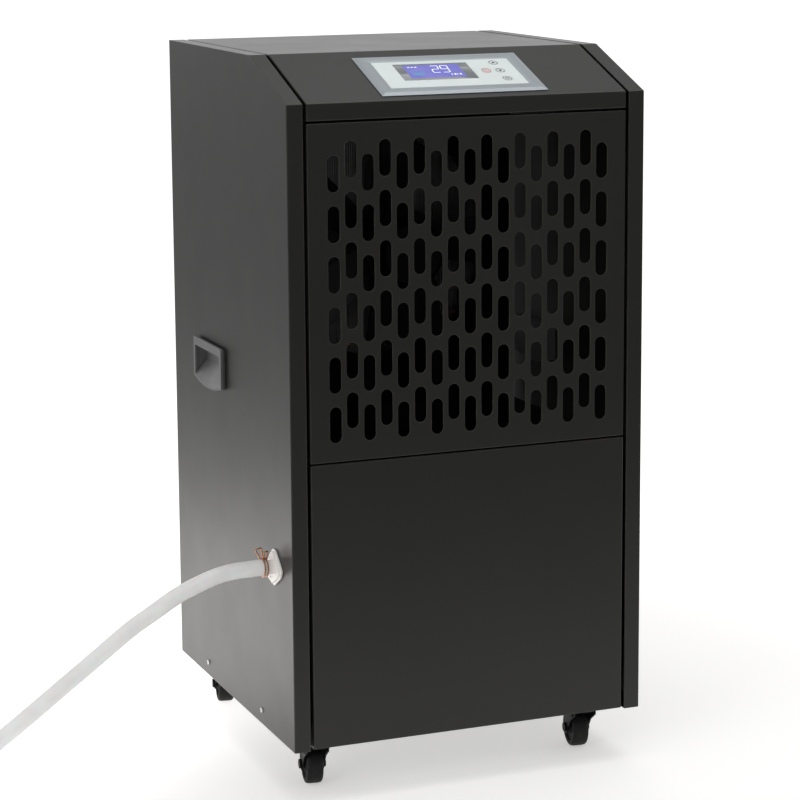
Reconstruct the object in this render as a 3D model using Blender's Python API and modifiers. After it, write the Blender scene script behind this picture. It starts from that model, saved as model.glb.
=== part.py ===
"""Commercial dehumidifier: a sheet-steel cabinet on casters, with its cooling circuit, fan and drain hose.

Units are metres. +Z is up, the front faces -Y, and the origin is on the floor under the cabinet's middle.
"""

import math

import bmesh
import bpy
from mathutils import Matrix, Vector
from mathutils.geometry import interpolate_bezier

# Cabinet
WIDTH = 0.464
DEPTH = 0.462
CABINET_HEIGHT = 0.832
CASTER_HEIGHT = 0.070
SHEET = 0.0015
FLANGE = 0.0207  # width of a side panel's folded edge, seen from the front
SEAM = 0.0042  # open groove between a side panel and the middle panels
RETURN = 0.015  # depth of the folded edges behind the middle panels
FOLD_RADIUS = 0.0012
GAP = 0.0003  # between pieces that touch
CUT_PAST = 0.010  # how far a cutter runs past the face it opens
SIDE_DROP = 0.002  # how far the side panels reach below the cabinet's floor

LEFT = -WIDTH / 2
FRONT = -DEPTH / 2
REAR = DEPTH / 2
BOTTOM = CASTER_HEIGHT
TOP = BOTTOM + CABINET_HEIGHT
PANEL_HALF = WIDTH / 2 - FLANGE - SEAM
INNER_HALF = WIDTH / 2 - FLANGE - 0.0005  # half the room between the side panels' flanges

# Screw holes low in the side panels
SCREW_PLACES = (-0.109, 0.109)
SCREW_Z = BOTTOM + 0.0165
SCREW_HOLE = 0.0022

# Slope for the controls, and the header lip under it
SLOPE_BOTTOM = BOTTOM + 0.7825
SLOPE_DEPTH = 0.1327
SLOPE_ANGLE = math.atan2(TOP - SLOPE_BOTTOM, SLOPE_DEPTH)
HEADER_BOTTOM = BOTTOM + 0.7620
REAR_LIP = 0.030

# Front grille and the panel under it
GRILLE_TOP = BOTTOM + 0.7592
GRILLE_BOTTOM = BOTTOM + 0.3538
LOWER_TOP = BOTTOM + 0.3518
SLOT_COLUMNS = 17
SLOT_ROWS = 6
SLOT_PITCH_X = 0.02182
SLOT_PITCH_Z = 0.06009
SLOT_WIDTH = 0.0150
SLOT_LENGTH = 0.0438
SLOT_TOP_Z = BOTTOM + 0.6995
SLOT_STAGGER = 0.0164
SLOT_ARC = 3

# Rear panel, its intake and the filter
REAR_FACE = REAR - 0.012
REAR_RETURN = 0.012
INTAKE_WIDTH = 0.372
INTAKE_BOTTOM = 0.462
INTAKE_TOP = 0.814
FILTER_DEPTH = 0.006
FILTER_BAR = 0.014
FILTER_CLEARANCE = 0.0004
FILTER_PROUD = 0.0005  # how far the filter's frame stands out of the rear panel
TAB_HALF = 0.020
MESH_THICKNESS = 0.0010
MESH_MARGIN = 0.004
GUARD_THICKNESS = 0.0020
GUARD_STANDOFF = 0.0060
GUARD_LAP = 0.008
GUARD_BORDER = 0.012
GUARD_SLOTS = 13
GUARD_SLOT_WIDTH = 0.018
GLAND_X = 0.150
GLAND_Z = BOTTOM + 0.060
GLAND_RADIUS = 0.0110

# Base pan and the deck between the two chambers
PAN_THICKNESS = 0.0020
PAN_FLANGE = 0.025
DECK_TOP = 0.4100
DECK_FLANGE = 0.020
CHAMBER_FRONT = FRONT + RETURN + 0.0005
CHAMBER_REAR = REAR_FACE - REAR_RETURN - 0.0005

# Control panel, in metres up the slope from its lower edge
PANEL_S = 0.0660
BEZEL_SIZE = (0.2157, 0.1100)
BEZEL_HEIGHT = 0.0026
PLATE_SIZE = (0.1795, 0.0730)
PLATE_BOTTOM = 0.0003
PLATE_TOP = 0.0019
WINDOW_SIZE = (0.0965, 0.0460)
WINDOW_AT = (-0.0162, 0.0722)
KEY_RADIUS = 0.0065
KEY_CLEARANCE = 0.0003
KEY_PLACES = {
    "key_up": (0.0673, 0.0910),
    "key_down": (0.0673, 0.0682),
    "key_timer": (0.0673, 0.0450),
    "key_power": (0.0492, 0.0692),
}
KEY_CROWN = 0.0003
KEY_DEPTH = 0.0026
KEY_EDGE = 0.0008  # width of the rounding round a key
BEZEL_ROUNDING = 0.0008
OPENING_SIZE = (0.1600, 0.0660)

# Recessed handles
HANDLE_Y = 0.0717
HANDLE_BOTTOM = BOTTOM + 0.4022
HANDLE_WIDTH = 0.1140
HANDLE_HEIGHT = 0.0520
HANDLE_SAG = 0.0080
HANDLE_PROUD = 0.0063
HANDLE_WALL = 0.0062  # from the rim's edge to the pocket's ends
RIM_THICKNESS = 0.0032
RIM_BAND = 0.0110  # height of the rim over the pocket's mouth
RIM_FOOT = 0.0025  # height of the rim under the pocket's mouth
POCKET_DEPTH = 0.0170  # from the rim's face
POCKET_BACK = 0.0022  # thickness of the wall behind the pocket
RIM_ROUNDING = 0.0010
RIM_OVERLAP = 0.0004  # how far the body runs up into the rim
SCOOP_RISE = 0.0165
SCOOP_SAG = 0.0030
FINGER_RISE = 0.0060  # how far the pocket rises behind the rim's band
END_RECESS_LIFT = 0.0030  # how far over the pocket's floor it begins
END_RECESS = 0.0016  # how far the pocket runs on behind the rim's ends
BOW_STEPS = 8

# Drain
SPOUT_Y = -0.170
SPOUT_Z = BOTTOM + 0.217
SPOUT_RADIUS = 0.0088
SPOUT_REACH = 0.0116
SPOUT_BORE = 0.0045
SPOUT_ROOT = 0.0050  # how far the stub runs on inside the cabinet
SPOUT_CLEARANCE = 0.0004
FLANGE_OUTLINE = (
    (0.0200, 0.0060),
    (0.0060, 0.0210),
    (-0.0030, 0.0213),
    (-0.0280, 0.0000),
    (-0.0224, -0.0102),
    (0.0009, -0.0243),
    (0.0215, -0.0187),
)
FLANGE_CORNER = 0.0050
FLANGE_BASE = 0.0022
FLANGE_HEIGHT = 0.0048
FLANGE_STEP = 0.0030  # how much smaller the flange's raised face is all round
HOSE_RADIUS = 0.010
HOSE_SIDES = 2
HOSE_STEP = 2
CLAMP_X = LEFT - 0.0150
CLAMP_HALF = 0.0030
CLAMP_CLEARANCE = 0.0008
CLAMP_OUTER = 0.0028  # outer face of its band over the hose
CLAMP_WIRE = 0.0012
CLAMP_PRONGS = (  # foot of each prong from the clamp's middle, and its reach
    ((-0.0016, 0.0040, 0.0111), (-0.0010, 0.0080, 0.0120)),
    ((0.0016, -0.0010, 0.0118), (0.0004, -0.0005, 0.0090)),
)
COIL_CENTRE = (-0.815, -0.080)
COIL_INNER = 0.080
COIL_OUTER = 0.140
HOSE_ROUTE = (
    (-0.2440, -0.1700, 0.2870),
    (-0.2650, -0.1700, 0.2871),
    (-0.2930, -0.1708, 0.2858),
    (-0.3200, -0.1730, 0.2800),
    (-0.3570, -0.1770, 0.2670),
    (-0.3900, -0.1815, 0.2500),
    (-0.4240, -0.1865, 0.2320),
    (-0.4740, -0.1940, 0.1995),
    (-0.5220, -0.2000, 0.1680),
    (-0.5560, -0.2040, 0.1453),
    (-0.5880, -0.2070, 0.1245),
    (-0.6250, -0.2090, 0.0985),
    (-0.6600, -0.2100, 0.0735),
    (-0.6920, -0.2100, 0.0520),
    (-0.7180, -0.2100, 0.0365),
    (-0.7420, -0.2100, 0.0245),
)

# Casters
CASTER_X = 0.182
CASTER_MIDDLE = -0.004  # the casters stand a little left of the cabinet's middle
CASTER_Y = 0.177
CASTER_TRAIL = 0.025
CASTER_YAW = {"front_left": -9, "front_right": -8, "rear_left": -11, "rear_right": 8}
CASTER_PLATE = (0.0245, 0.0260, 0.0025)  # half length, half width and thickness
WHEEL_RADIUS = 0.025
WHEEL_WIDTH = 0.021
WEB_DISH = 0.0030
WEB_INNER = 0.0100
WEB_OUTER = 0.0175
WHEEL_HUB = 0.0085
TREAD_EDGE = 0.0022
AXLE_RADIUS = 0.0039
AXLE_BORE = 0.00405
AXLE_HEAD = (0.0060, 0.0022)  # radius and thickness
FORK_THICKNESS = 0.002
FORK_INNER = 0.0121
CROWN_RADIUS = 0.0205
CROWN_NECK = 0.0160
CROWN_LOW = 0.0480
CROWN_RIM = 0.0030  # height of the crown's upright rim
CROWN_INNER = 0.0560  # underside of the crown, over the wheel
CHEEK_TOP = 0.0585
CHEEK_FOOT = 0.0085
KINGPIN_RADIUS = 0.0050
KINGPIN_BORE = 0.0053
KINGPIN_NUT = 0.0080
KINGPIN_NUT_EDGE = 0.0020  # height of the nut at its edge
KINGPIN_NUT_HEIGHT = 0.0030
KINGPIN_OVERLAP = 0.0010  # how far the pin runs up into its plate
PLATE_CORNER = 0.0060
BRIDGE_Y = (-0.0150, 0.0300)
BRIDGE_THICKNESS = 0.0030
WHEEL_ROOM_Y = (-0.0400, 0.0600)
FORK_BORE_Z = (0.0400, 0.0800)

# Air path
FAN_Z = 0.640
FAN_Y = 0.050
FAN_RADIUS = 0.140
FAN_BLADES = 5
BLADE_PITCH = math.radians(28)
BLADE_THICKNESS = 0.0020
BLADE_ROOT = 0.0120  # how far a blade runs into the hub
BLADE_ROOT_HALF = 0.0160
HUB_RADIUS = 0.036
HUB_HALF = 0.018
SHAFT_RADIUS = 0.0040
SHAFT_BORE = 0.0042
MOTOR_RADIUS = 0.044
MOTOR_FRONT = -0.050
MOTOR_REAR = 0.022
BRACKET_RING = 0.0100  # width of the ring round the motor
BRACKET_CLEARANCE = 0.0005
BRACKET_HALF = 0.070
BRACKET_FOOT = 0.020
BRACKET_Y = (0.018, 0.022)  # towards the front
SHROUD_Y = FAN_Y + 0.026
SHROUD_RADIUS = 0.150
SHROUD_HALF = 0.190
SHROUD_THICKNESS = 0.002
COIL_WIDTH = 0.356
COIL_BOTTOM = 0.4170
COIL_TOP = 0.820
COIL_FINS = 24
COIL_SPINE = 0.004
FIN_SHARE = 0.16  # a fin's share of the pitch
EVAPORATOR_Y = (0.146, 0.186)
CONDENSER_Y = (0.092, 0.132)
TRAY_Y = (0.084, 0.194)
TRAY_HEIGHT = 0.030
TRAY_WALL = 0.002
TRAY_OUTLET = 0.0040
TRAY_HALF = 0.186

# Cooling circuit in the lower chamber
COMPRESSOR_AT = (0.040, 0.020)
COMPRESSOR_RADIUS = 0.062
COMPRESSOR_BOTTOM = 0.092
COMPRESSOR_TOP = 0.300
COMPRESSOR_WALL = 0.010
FOOT_REACH = 0.078
FOOT_RADIUS = 0.011
FOOT_PLATE = 0.004
FOOT_PLATE_REACH = 1.35  # the foot plate's corners over the feet's distance, before rounding
ACCUMULATOR_AT = (-0.062, 0.060)
ACCUMULATOR_RADIUS = 0.025
ACCUMULATOR_Z = (0.130, 0.260)
LINE_RADIUS = 0.0048
LINE_HOLE = 0.0015  # clearance of a pipe in the deck
CAPILLARY_RADIUS = 0.0016
CAPILLARY_AT = (0.140, 0.560)
CAPILLARY_LOOP = 0.020
CAPILLARY_PITCH = 0.0048
CAPILLARY_TURNS = 3
CAPILLARY_STEPS = 12
DRAIN_TUBE_RADIUS = 0.0070
DRAIN_AT = (-0.165, 0.130)
SUCTION_AT = (-0.130, 0.160)
DISCHARGE_AT = (0.130, 0.112)
BOX_LOW = (-0.175, -0.150)
BOX_HIGH = (-0.075, -0.060)
BOX_HEIGHT = 0.130
BOX_WALL = 0.002

COLOURS = {
    "powder_coat": ((0.045, 0.044, 0.041), 0.50, 0.0),
    "galvanised_steel": ((0.45, 0.46, 0.47), 0.45, 1.0),
    "grey_plastic": ((0.075, 0.075, 0.075), 0.55, 0.0),
    "black_plastic": ((0.015, 0.015, 0.015), 0.50, 0.0),
    "white_plastic": ((0.72, 0.69, 0.64), 0.40, 0.0),
    "silver_bezel": ((0.38, 0.42, 0.46), 0.32, 0.0),
    "keypad_film": ((0.78, 0.84, 0.85), 0.45, 0.0),
    "display_glass": ((0.02, 0.02, 0.05), 0.12, 0.0),
    "fin_aluminium": ((0.60, 0.61, 0.62), 0.40, 1.0),
    "copper": ((0.62, 0.30, 0.17), 0.30, 1.0),
    "painted_black": ((0.012, 0.012, 0.013), 0.35, 0.0),
    "tyre_rubber": ((0.020, 0.020, 0.020), 0.75, 0.0),
    "hose_vinyl": ((0.76, 0.77, 0.78), 0.40, 0.0),
    "circuit_board": ((0.03, 0.14, 0.07), 0.50, 0.0),
    "filter_fabric": ((0.10, 0.10, 0.11), 0.85, 0.0),
}

# Local axes of a flat outline: drawn in YZ and thick along X, or drawn in XZ and thick along -Y
ACROSS_X = Matrix(((0, 0, 1), (1, 0, 0), (0, 1, 0))).to_4x4()
ACROSS_Y = Matrix(((1, 0, 0), (0, 0, -1), (0, 1, 0))).to_4x4()
TOWARDS_LEFT = Matrix(((0, 0, -1), (0, 1, 0), (1, 0, 0))).to_4x4()
TOWARDS_RIGHT = Matrix(((0, 0, 1), (0, 1, 0), (-1, 0, 0))).to_4x4()


# ---------------------------------------------------------------- scene and materials


def clear_scene():
    for obj in list(bpy.data.objects):
        bpy.data.objects.remove(obj, do_unlink=True)


def new_collection(name):
    collection = bpy.data.collections.new(name)
    bpy.context.scene.collection.children.link(collection)
    return collection


def make_material(name, colour, roughness, metallic):
    material = bpy.data.materials.new(name)
    material.use_nodes = True
    shader = material.node_tree.nodes["Principled BSDF"]
    shader.inputs["Base Color"].default_value = (*colour, 1.0)
    shader.inputs["Roughness"].default_value = roughness
    shader.inputs["Metallic"].default_value = metallic
    return material


clear_scene()
PARTS = new_collection("dehumidifier")
CUTTERS = new_collection("cutters")
MATERIALS = {name: make_material(name, *look) for name, look in COLOURS.items()}


# ---------------------------------------------------------------- making and joining shapes


def place(name, data, matrix=None, parent=None):
    """A new object. Its matrix is in its parent's space."""
    obj = bpy.data.objects.new(name, data)
    PARTS.objects.link(obj)
    obj.parent = parent
    obj.matrix_basis = matrix or Matrix()
    return obj


def paint(obj, look):
    obj.data.materials.clear()
    obj.data.materials.append(MATERIALS[look])
    return obj


def smooth(obj, angle=35):
    obj.data.shade_smooth()
    obj.data.set_sharp_from_angle(angle=math.radians(angle))
    return obj


def box(name, low, high, matrix=None, parent=None):
    """A cuboid between two corners, given in the space of its matrix."""
    shape = bmesh.new()
    bmesh.ops.create_cube(shape, size=1.0)
    size = Vector(high) - Vector(low)
    middle = (Vector(high) + Vector(low)) / 2
    stretch = Matrix.Translation(middle) @ Matrix.Diagonal((*size, 1))
    bmesh.ops.transform(shape, matrix=stretch, verts=shape.verts)
    return place(name, as_data(name, shape), matrix, parent)


def as_data(name, shape):
    """The shape as mesh data."""
    mesh = bpy.data.meshes.new(name)
    shape.to_mesh(mesh)
    shape.free()
    return mesh


def loft(name, sections):
    """A closed solid through outlines in YZ, each at its own x. They have the same number of points."""
    shape = bmesh.new()
    rows = [[shape.verts.new((x, y, z)) for y, z in outline] for x, outline in sections]
    for first, second in zip(rows, rows[1:]):
        for i in range(len(first)):
            shape.faces.new((first[i], first[i - 1], second[i - 1], second[i]))
    shape.faces.new(rows[0])
    shape.faces.new(rows[-1][::-1])
    bmesh.ops.recalc_face_normals(shape, faces=shape.faces)
    return place(name, as_data(name, shape))


def as_mesh(curve):
    """The curve object made a welded mesh, so that it can be cut or joined."""
    bpy.context.view_layer.update()
    evaluated = curve.evaluated_get(bpy.context.evaluated_depsgraph_get())
    mesh = bpy.data.meshes.new_from_object(evaluated)
    shape = bmesh.new()
    shape.from_mesh(mesh)
    bmesh.ops.remove_doubles(shape, verts=shape.verts, dist=1e-6)
    shape.to_mesh(mesh)
    shape.free()
    name = curve.name
    matrix = curve.matrix_world.copy()
    parent = curve.parent
    bpy.data.objects.remove(curve, do_unlink=True)
    obj = place(name, mesh, None, parent)
    obj.matrix_world = matrix
    return obj


def plate(name, outlines, low, high, axes=None, matrix=None, parent=None):
    """A flat plate. Outlines inside the first are holes, and low and high are its faces' places."""
    curve = bpy.data.curves.new(name, "CURVE")
    curve.dimensions = "2D"
    curve.fill_mode = "BOTH"
    curve.extrude = (high - low) / 2
    for outline in outlines:
        spline = curve.splines.new("POLY")
        spline.points.add(len(outline) - 1)
        for point, (u, v) in zip(spline.points, outline):
            point.co = (u, v, 0.0, 1.0)
        spline.use_cyclic_u = True
    middle = Matrix.Translation((0, 0, (low + high) / 2))
    obj = place(name, curve, (matrix or Matrix()) @ (axes or Matrix()) @ middle, parent)
    return as_mesh(obj)


def turned(name, profile, matrix=None, parent=None, steps=24, closed=False):
    """A profile of (radius, height) points turned about the local Z axis, running down its outer side."""
    mesh = bpy.data.meshes.new(name)
    count = len(profile)
    edges = [(i, i + 1) for i in range(count - 1)]
    if closed:
        edges.append((count - 1, 0))
    mesh.from_pydata([(radius, 0.0, height) for radius, height in profile], edges, [])
    obj = place(name, mesh, matrix, parent)
    screw = obj.modifiers.new("Turn", "SCREW")
    screw.steps = steps
    screw.render_steps = steps
    screw.use_merge_vertices = True
    screw.merge_threshold = 0.00001
    return obj


def cylinder(name, radius, low, high, matrix=None, parent=None, steps=24):
    profile = ((0, high), (radius, high), (radius, low), (0, low))
    return turned(name, profile, matrix, parent, steps)


def tube(name, points, radius, sides=2, parent=None):
    """A round bar through the points, with filled ends."""
    curve = bpy.data.curves.new(name, "CURVE")
    curve.dimensions = "3D"
    curve.bevel_depth = radius
    curve.bevel_resolution = sides
    curve.use_fill_caps = True
    spline = curve.splines.new("POLY")
    spline.points.add(len(points) - 1)
    for point, place_at in zip(spline.points, points):
        point.co = (*place_at, 1.0)
    return place(name, curve, None, parent)


def as_cutter(obj):
    PARTS.objects.unlink(obj)
    CUTTERS.objects.link(obj)
    obj.hide_render = True
    obj.display_type = "WIRE"
    return obj


def cut(obj, *cutters):
    for cutter in cutters:
        modifier = obj.modifiers.new("Cut", "BOOLEAN")
        modifier.operation = "DIFFERENCE"
        modifier.solver = "EXACT"
        modifier.object = as_cutter(cutter)
    return obj


def join(obj, *others):
    for other in others:
        modifier = obj.modifiers.new("Join", "BOOLEAN")
        modifier.operation = "UNION"
        modifier.solver = "EXACT"
        modifier.object = as_cutter(other)
    return obj


def round_edges(obj, width, segments=2):
    modifier = obj.modifiers.new("Round", "BEVEL")
    modifier.width = width
    modifier.segments = segments
    modifier.limit_method = "ANGLE"
    modifier.angle_limit = math.radians(15)
    return obj


# ---------------------------------------------------------------- outlines


def rectangle(low_u, low_v, high_u, high_v):
    return [(low_u, low_v), (high_u, low_v), (high_u, high_v), (low_u, high_v)]


def circle(centre_u, centre_v, radius, count=16):
    angles = [2 * math.pi * i / count for i in range(count)]
    return [(centre_u + radius * math.cos(a), centre_v + radius * math.sin(a)) for a in angles]


def slot_outline(centre_u, centre_v, width, length, arc=SLOT_ARC):
    """An upright slot with round ends."""
    radius = width / 2
    straight = length / 2 - radius
    points = []
    for end, start in ((1, 0.0), (-1, math.pi)):
        for i in range(arc + 1):
            angle = start + math.pi * i / arc
            u = centre_u + radius * math.cos(angle)
            points.append((u, centre_v + end * straight + radius * math.sin(angle)))
    return points


def inset(points, distance):
    """A convex outline, given anticlockwise, moved inwards."""
    lines = []
    for start, end in zip(points, points[1:] + points[:1]):
        along = (Vector(end) - Vector(start)).normalized()
        inward = Vector((-along.y, along.x))
        lines.append((Vector(start) + inward * distance, along))
    return [tuple(meet(lines[i - 1], lines[i])) for i in range(len(lines))]


def meet(first, second):
    """Where two lines, each a point and a direction, cross."""
    (p, d), (q, e) = first, second
    t = (q - p).cross(e) / d.cross(e)
    return p + d * t


def offset_run(points, distance):
    """An open run of points moved to its right."""
    lines = []
    for start, end in zip(points, points[1:]):
        along = (Vector(end) - Vector(start)).normalized()
        right = Vector((along.y, -along.x))
        lines.append((Vector(start) + right * distance, along))
    first = lines[0][0]
    last_point, last_along = lines[-1]
    length = (Vector(points[-1]) - Vector(points[-2])).length
    middle = [meet(lines[i], lines[i + 1]) for i in range(len(lines) - 1)]
    return [tuple(p) for p in (first, *middle, last_point + last_along * length)]


def rounded(points, radius, steps=3):
    """The outline with each corner turned on an arc."""
    result = []
    for before, corner, after in zip(points[-1:] + points[:-1], points, points[1:] + points[:1]):
        here = Vector(corner)
        back = (Vector(before) - here).normalized()
        ahead = (Vector(after) - here).normalized()
        half = back.angle(ahead) / 2
        reach = radius / math.tan(half)
        centre = here + (back + ahead).normalized() * radius / math.sin(half)
        start = here + back * reach - centre
        turn = start.angle_signed(here + ahead * reach - centre)
        for i in range(steps + 1):
            spoke = start.copy()
            spoke.rotate(Matrix.Rotation(-turn * i / steps, 2))
            result.append(tuple(centre + spoke))
    return result


# ---------------------------------------------------------------- cabinet shells


def side_outline():
    """A side panel's edge in YZ, anticlockwise from its lower front corner."""
    low = BOTTOM - SIDE_DROP
    return [(FRONT, low), (REAR, low), (REAR, TOP), (FRONT + SLOPE_DEPTH, TOP), (FRONT, SLOPE_BOTTOM)]


def side_span(side, inner, outer):
    """The x range between two distances in from a side's outer face."""
    ends = (side * (WIDTH / 2 - inner), side * (WIDTH / 2 - outer))
    return min(ends), max(ends)


def side_panel(name, side):
    """A tray of folded sheet: the outer face and a flange all round it."""
    panel = plate(name, [side_outline()], *side_span(side, FLANGE, 0), ACROSS_X)
    round_edges(panel, FOLD_RADIUS)
    inside = side_span(side, FLANGE + CUT_PAST, SHEET)
    hollow = plate(name + "_hollow", [inset(side_outline(), SHEET)], *inside, ACROSS_X)
    through = side_span(side, FLANGE / 2, -CUT_PAST)
    holes = [handle_outline(HANDLE_WALL / 2 - GAP)]
    holes += [circle(y, SCREW_Z, SCREW_HOLE, 8) for y in SCREW_PLACES]
    if side < 0:
        holes.append(circle(SPOUT_Y, SPOUT_Z, SPOUT_RADIUS + SPOUT_CLEARANCE, 16))
    cut(panel, hollow)
    for hole in holes:
        cut(panel, plate(name + "_hole", [hole], *through, ACROSS_X))
    return paint(panel, "powder_coat")


def cover_run():
    """The top cover's outer face seen from the left, from the header's lower edge over to the rear lip."""
    return [
        (FRONT, HEADER_BOTTOM),
        (FRONT, SLOPE_BOTTOM),
        (FRONT + SLOPE_DEPTH, TOP),
        (REAR, TOP),
        (REAR, TOP - REAR_LIP),
    ]


def top_cover():
    """One folded sheet with edges turned in at its ends and its two lips."""
    run = cover_run()
    band = run + offset_run(run, RETURN)[::-1]
    cover = plate("top_cover", [band[::-1]], -PANEL_HALF, PANEL_HALF, ACROSS_X)
    round_edges(cover, FOLD_RADIUS)
    inner = list(run)
    inner[0] = (FRONT, HEADER_BOTTOM + SHEET)
    inner[-1] = (REAR, TOP - REAR_LIP + SHEET)
    hollow_band = offset_run(inner, SHEET) + offset_run(inner, RETURN + CUT_PAST / 2)[::-1]
    inner_half = PANEL_HALF - SHEET
    hollow = plate("top_cover_hollow", [hollow_band[::-1]], -inner_half, inner_half, ACROSS_X)
    half_x, half_s = OPENING_SIZE[0] / 2, OPENING_SIZE[1] / 2
    low_corner = (-half_x, PANEL_S - half_s, -CUT_PAST)
    opening = box("display_opening", low_corner, (half_x, PANEL_S + half_s, CUT_PAST), slope_matrix())
    return paint(cut(cover, hollow, opening), "powder_coat")


def slope_matrix():
    """Local X across, local Y up the slope, and local Z out of it, from the middle of its lower edge."""
    return Matrix.Translation((0, FRONT, SLOPE_BOTTOM)) @ Matrix.Rotation(SLOPE_ANGLE, 4, "X")


def slot_centres():
    for column in range(SLOT_COLUMNS):
        x = (column - (SLOT_COLUMNS - 1) / 2) * SLOT_PITCH_X
        raised = SLOT_STAGGER if column % 2 else 0.0
        for row in range(SLOT_ROWS):
            yield x, SLOT_TOP_Z + raised - row * SLOT_PITCH_Z


def front_grille():
    """A slotted sheet with its edges folded back."""
    grille = folded_panel("front_grille", FRONT, RETURN, GRILLE_BOTTOM, GRILLE_TOP)
    slots = [slot_outline(x, z, SLOT_WIDTH, SLOT_LENGTH) for x, z in slot_centres()]
    return cut(grille, plate("grille_slots", slots, -FRONT - SHEET * 2, -FRONT + SHEET, ACROSS_Y))


def folded_panel(name, face, depth, low, high):
    """An upright sheet between the side panels, its edges folded away from its outer face."""
    back = face + depth
    panel = box(name, (-PANEL_HALF, min(face, back), low), (PANEL_HALF, max(face, back), high))
    round_edges(panel, FOLD_RADIUS)
    near = face + math.copysign(SHEET, depth)
    far = back + math.copysign(CUT_PAST, depth)
    hollow = box(
        name + "_hollow",
        (-PANEL_HALF + SHEET, min(near, far), low + SHEET),
        (PANEL_HALF - SHEET, max(near, far), high - SHEET),
    )
    return paint(cut(panel, hollow), "powder_coat")


def front_lower_panel():
    return folded_panel("front_lower_panel", FRONT, RETURN, BOTTOM, LOWER_TOP)


def rear_panel():
    """A recessed panel with the air intake's opening and the gland's hole."""
    low, high = BOTTOM + 0.001, TOP - REAR_LIP - 0.002
    panel = folded_panel("rear_panel", REAR_FACE, -REAR_RETURN, low, high)
    intake = rectangle(-INTAKE_WIDTH / 2, INTAKE_BOTTOM, INTAKE_WIDTH / 2, INTAKE_TOP)
    gland = circle(GLAND_X, GLAND_Z, GLAND_RADIUS + GAP, 16)
    through = (-REAR_FACE - SHEET, -REAR_FACE + SHEET * 2)
    return cut(panel, plate("rear_openings", [intake, gland], *through, ACROSS_Y))


def intake_guard():
    """A slotted plate behind the filter."""
    half = INTAKE_WIDTH / 2 + GUARD_LAP
    outline = rectangle(-half, INTAKE_BOTTOM - GUARD_LAP, half, INTAKE_TOP + GUARD_LAP)
    low, high = INTAKE_BOTTOM + GUARD_BORDER, INTAKE_TOP - GUARD_BORDER
    pitch = (INTAKE_WIDTH - 2 * GUARD_BORDER) / GUARD_SLOTS
    face = -REAR_FACE + SHEET + GAP + GUARD_STANDOFF
    holes = []
    for i in range(GUARD_SLOTS):
        x = (i - (GUARD_SLOTS - 1) / 2) * pitch
        holes.append(rectangle(x - GUARD_SLOT_WIDTH / 2, low, x + GUARD_SLOT_WIDTH / 2, high))
    guard = plate("intake_guard", [outline, *holes], face, face + GUARD_THICKNESS, ACROSS_Y)
    return paint(guard, "black_plastic")


def air_filter():
    """A frame with four windows and a sheet of filter mesh behind it, which pull straight out together."""
    half_u = INTAKE_WIDTH / 2 - FILTER_CLEARANCE
    half_v = (INTAKE_TOP - INTAKE_BOTTOM) / 2 - FILTER_CLEARANCE
    middle = Vector((0, REAR_FACE - FILTER_DEPTH / 2 + FILTER_PROUD, (INTAKE_BOTTOM + INTAKE_TOP) / 2))
    matrix = Matrix.Translation(middle) @ ACROSS_Y
    windows = []
    for side_u in (-1, 1):
        for side_v in (-1, 1):
            us = sorted((side_u * FILTER_BAR / 2, side_u * (half_u - FILTER_BAR)))
            vs = sorted((side_v * FILTER_BAR / 2, side_v * (half_v - FILTER_BAR)))
            windows.append(rectangle(us[0], vs[0], us[1], vs[1]))
    half_w = FILTER_DEPTH / 2
    frame = box("filter_frame", (-half_u, -half_v, -half_w), (half_u, half_v, half_w), matrix)
    tab = box("filter_tab", (-TAB_HALF, -half_v + 0.002, -0.0105), (TAB_HALF, -half_v + 0.010, 0), matrix)
    join(frame, tab)
    cut(frame, plate("filter_windows", windows, -FILTER_DEPTH, FILTER_DEPTH, matrix=matrix))
    paint(frame, "black_plastic")
    back = half_w + GAP
    mesh_u, mesh_v = half_u - MESH_MARGIN, half_v - MESH_MARGIN
    mesh = box("filter_mesh", (-mesh_u, -mesh_v, back), (mesh_u, mesh_v, back + MESH_THICKNESS), matrix)
    paint(mesh, "filter_fabric")


def cord_gland():
    """A hollow bush in the rear panel for the mains lead, with its clamping nut inside."""
    matrix = Matrix.Translation((GLAND_X, REAR_FACE, GLAND_Z)) @ Matrix.Rotation(-math.pi / 2, 4, "X")
    profile = (
        (0.0052, 0.0108),
        (0.0085, 0.0108),
        (0.0100, 0.0080),
        (0.0145, 0.0040),
        (0.0145, GAP),
        (GLAND_RADIUS, GAP),
        (GLAND_RADIUS, -0.0100),
        (0.0052, -0.0100),
    )
    gland = turned("cord_gland", profile, matrix, steps=16, closed=True)
    return smooth(paint(gland, "black_plastic"))


def base_pan():
    """The cabinet's floor, with its edges turned up."""
    half = INNER_HALF
    pan = box("base_pan", (-half, CHAMBER_FRONT, BOTTOM), (half, CHAMBER_REAR, BOTTOM + PAN_FLANGE))
    hollow = box(
        "base_pan_hollow",
        (-half + PAN_THICKNESS, CHAMBER_FRONT + PAN_THICKNESS, BOTTOM + PAN_THICKNESS),
        (half - PAN_THICKNESS, CHAMBER_REAR - PAN_THICKNESS, BOTTOM + PAN_FLANGE + CUT_PAST),
    )
    return paint(cut(pan, hollow), "galvanised_steel")


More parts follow.
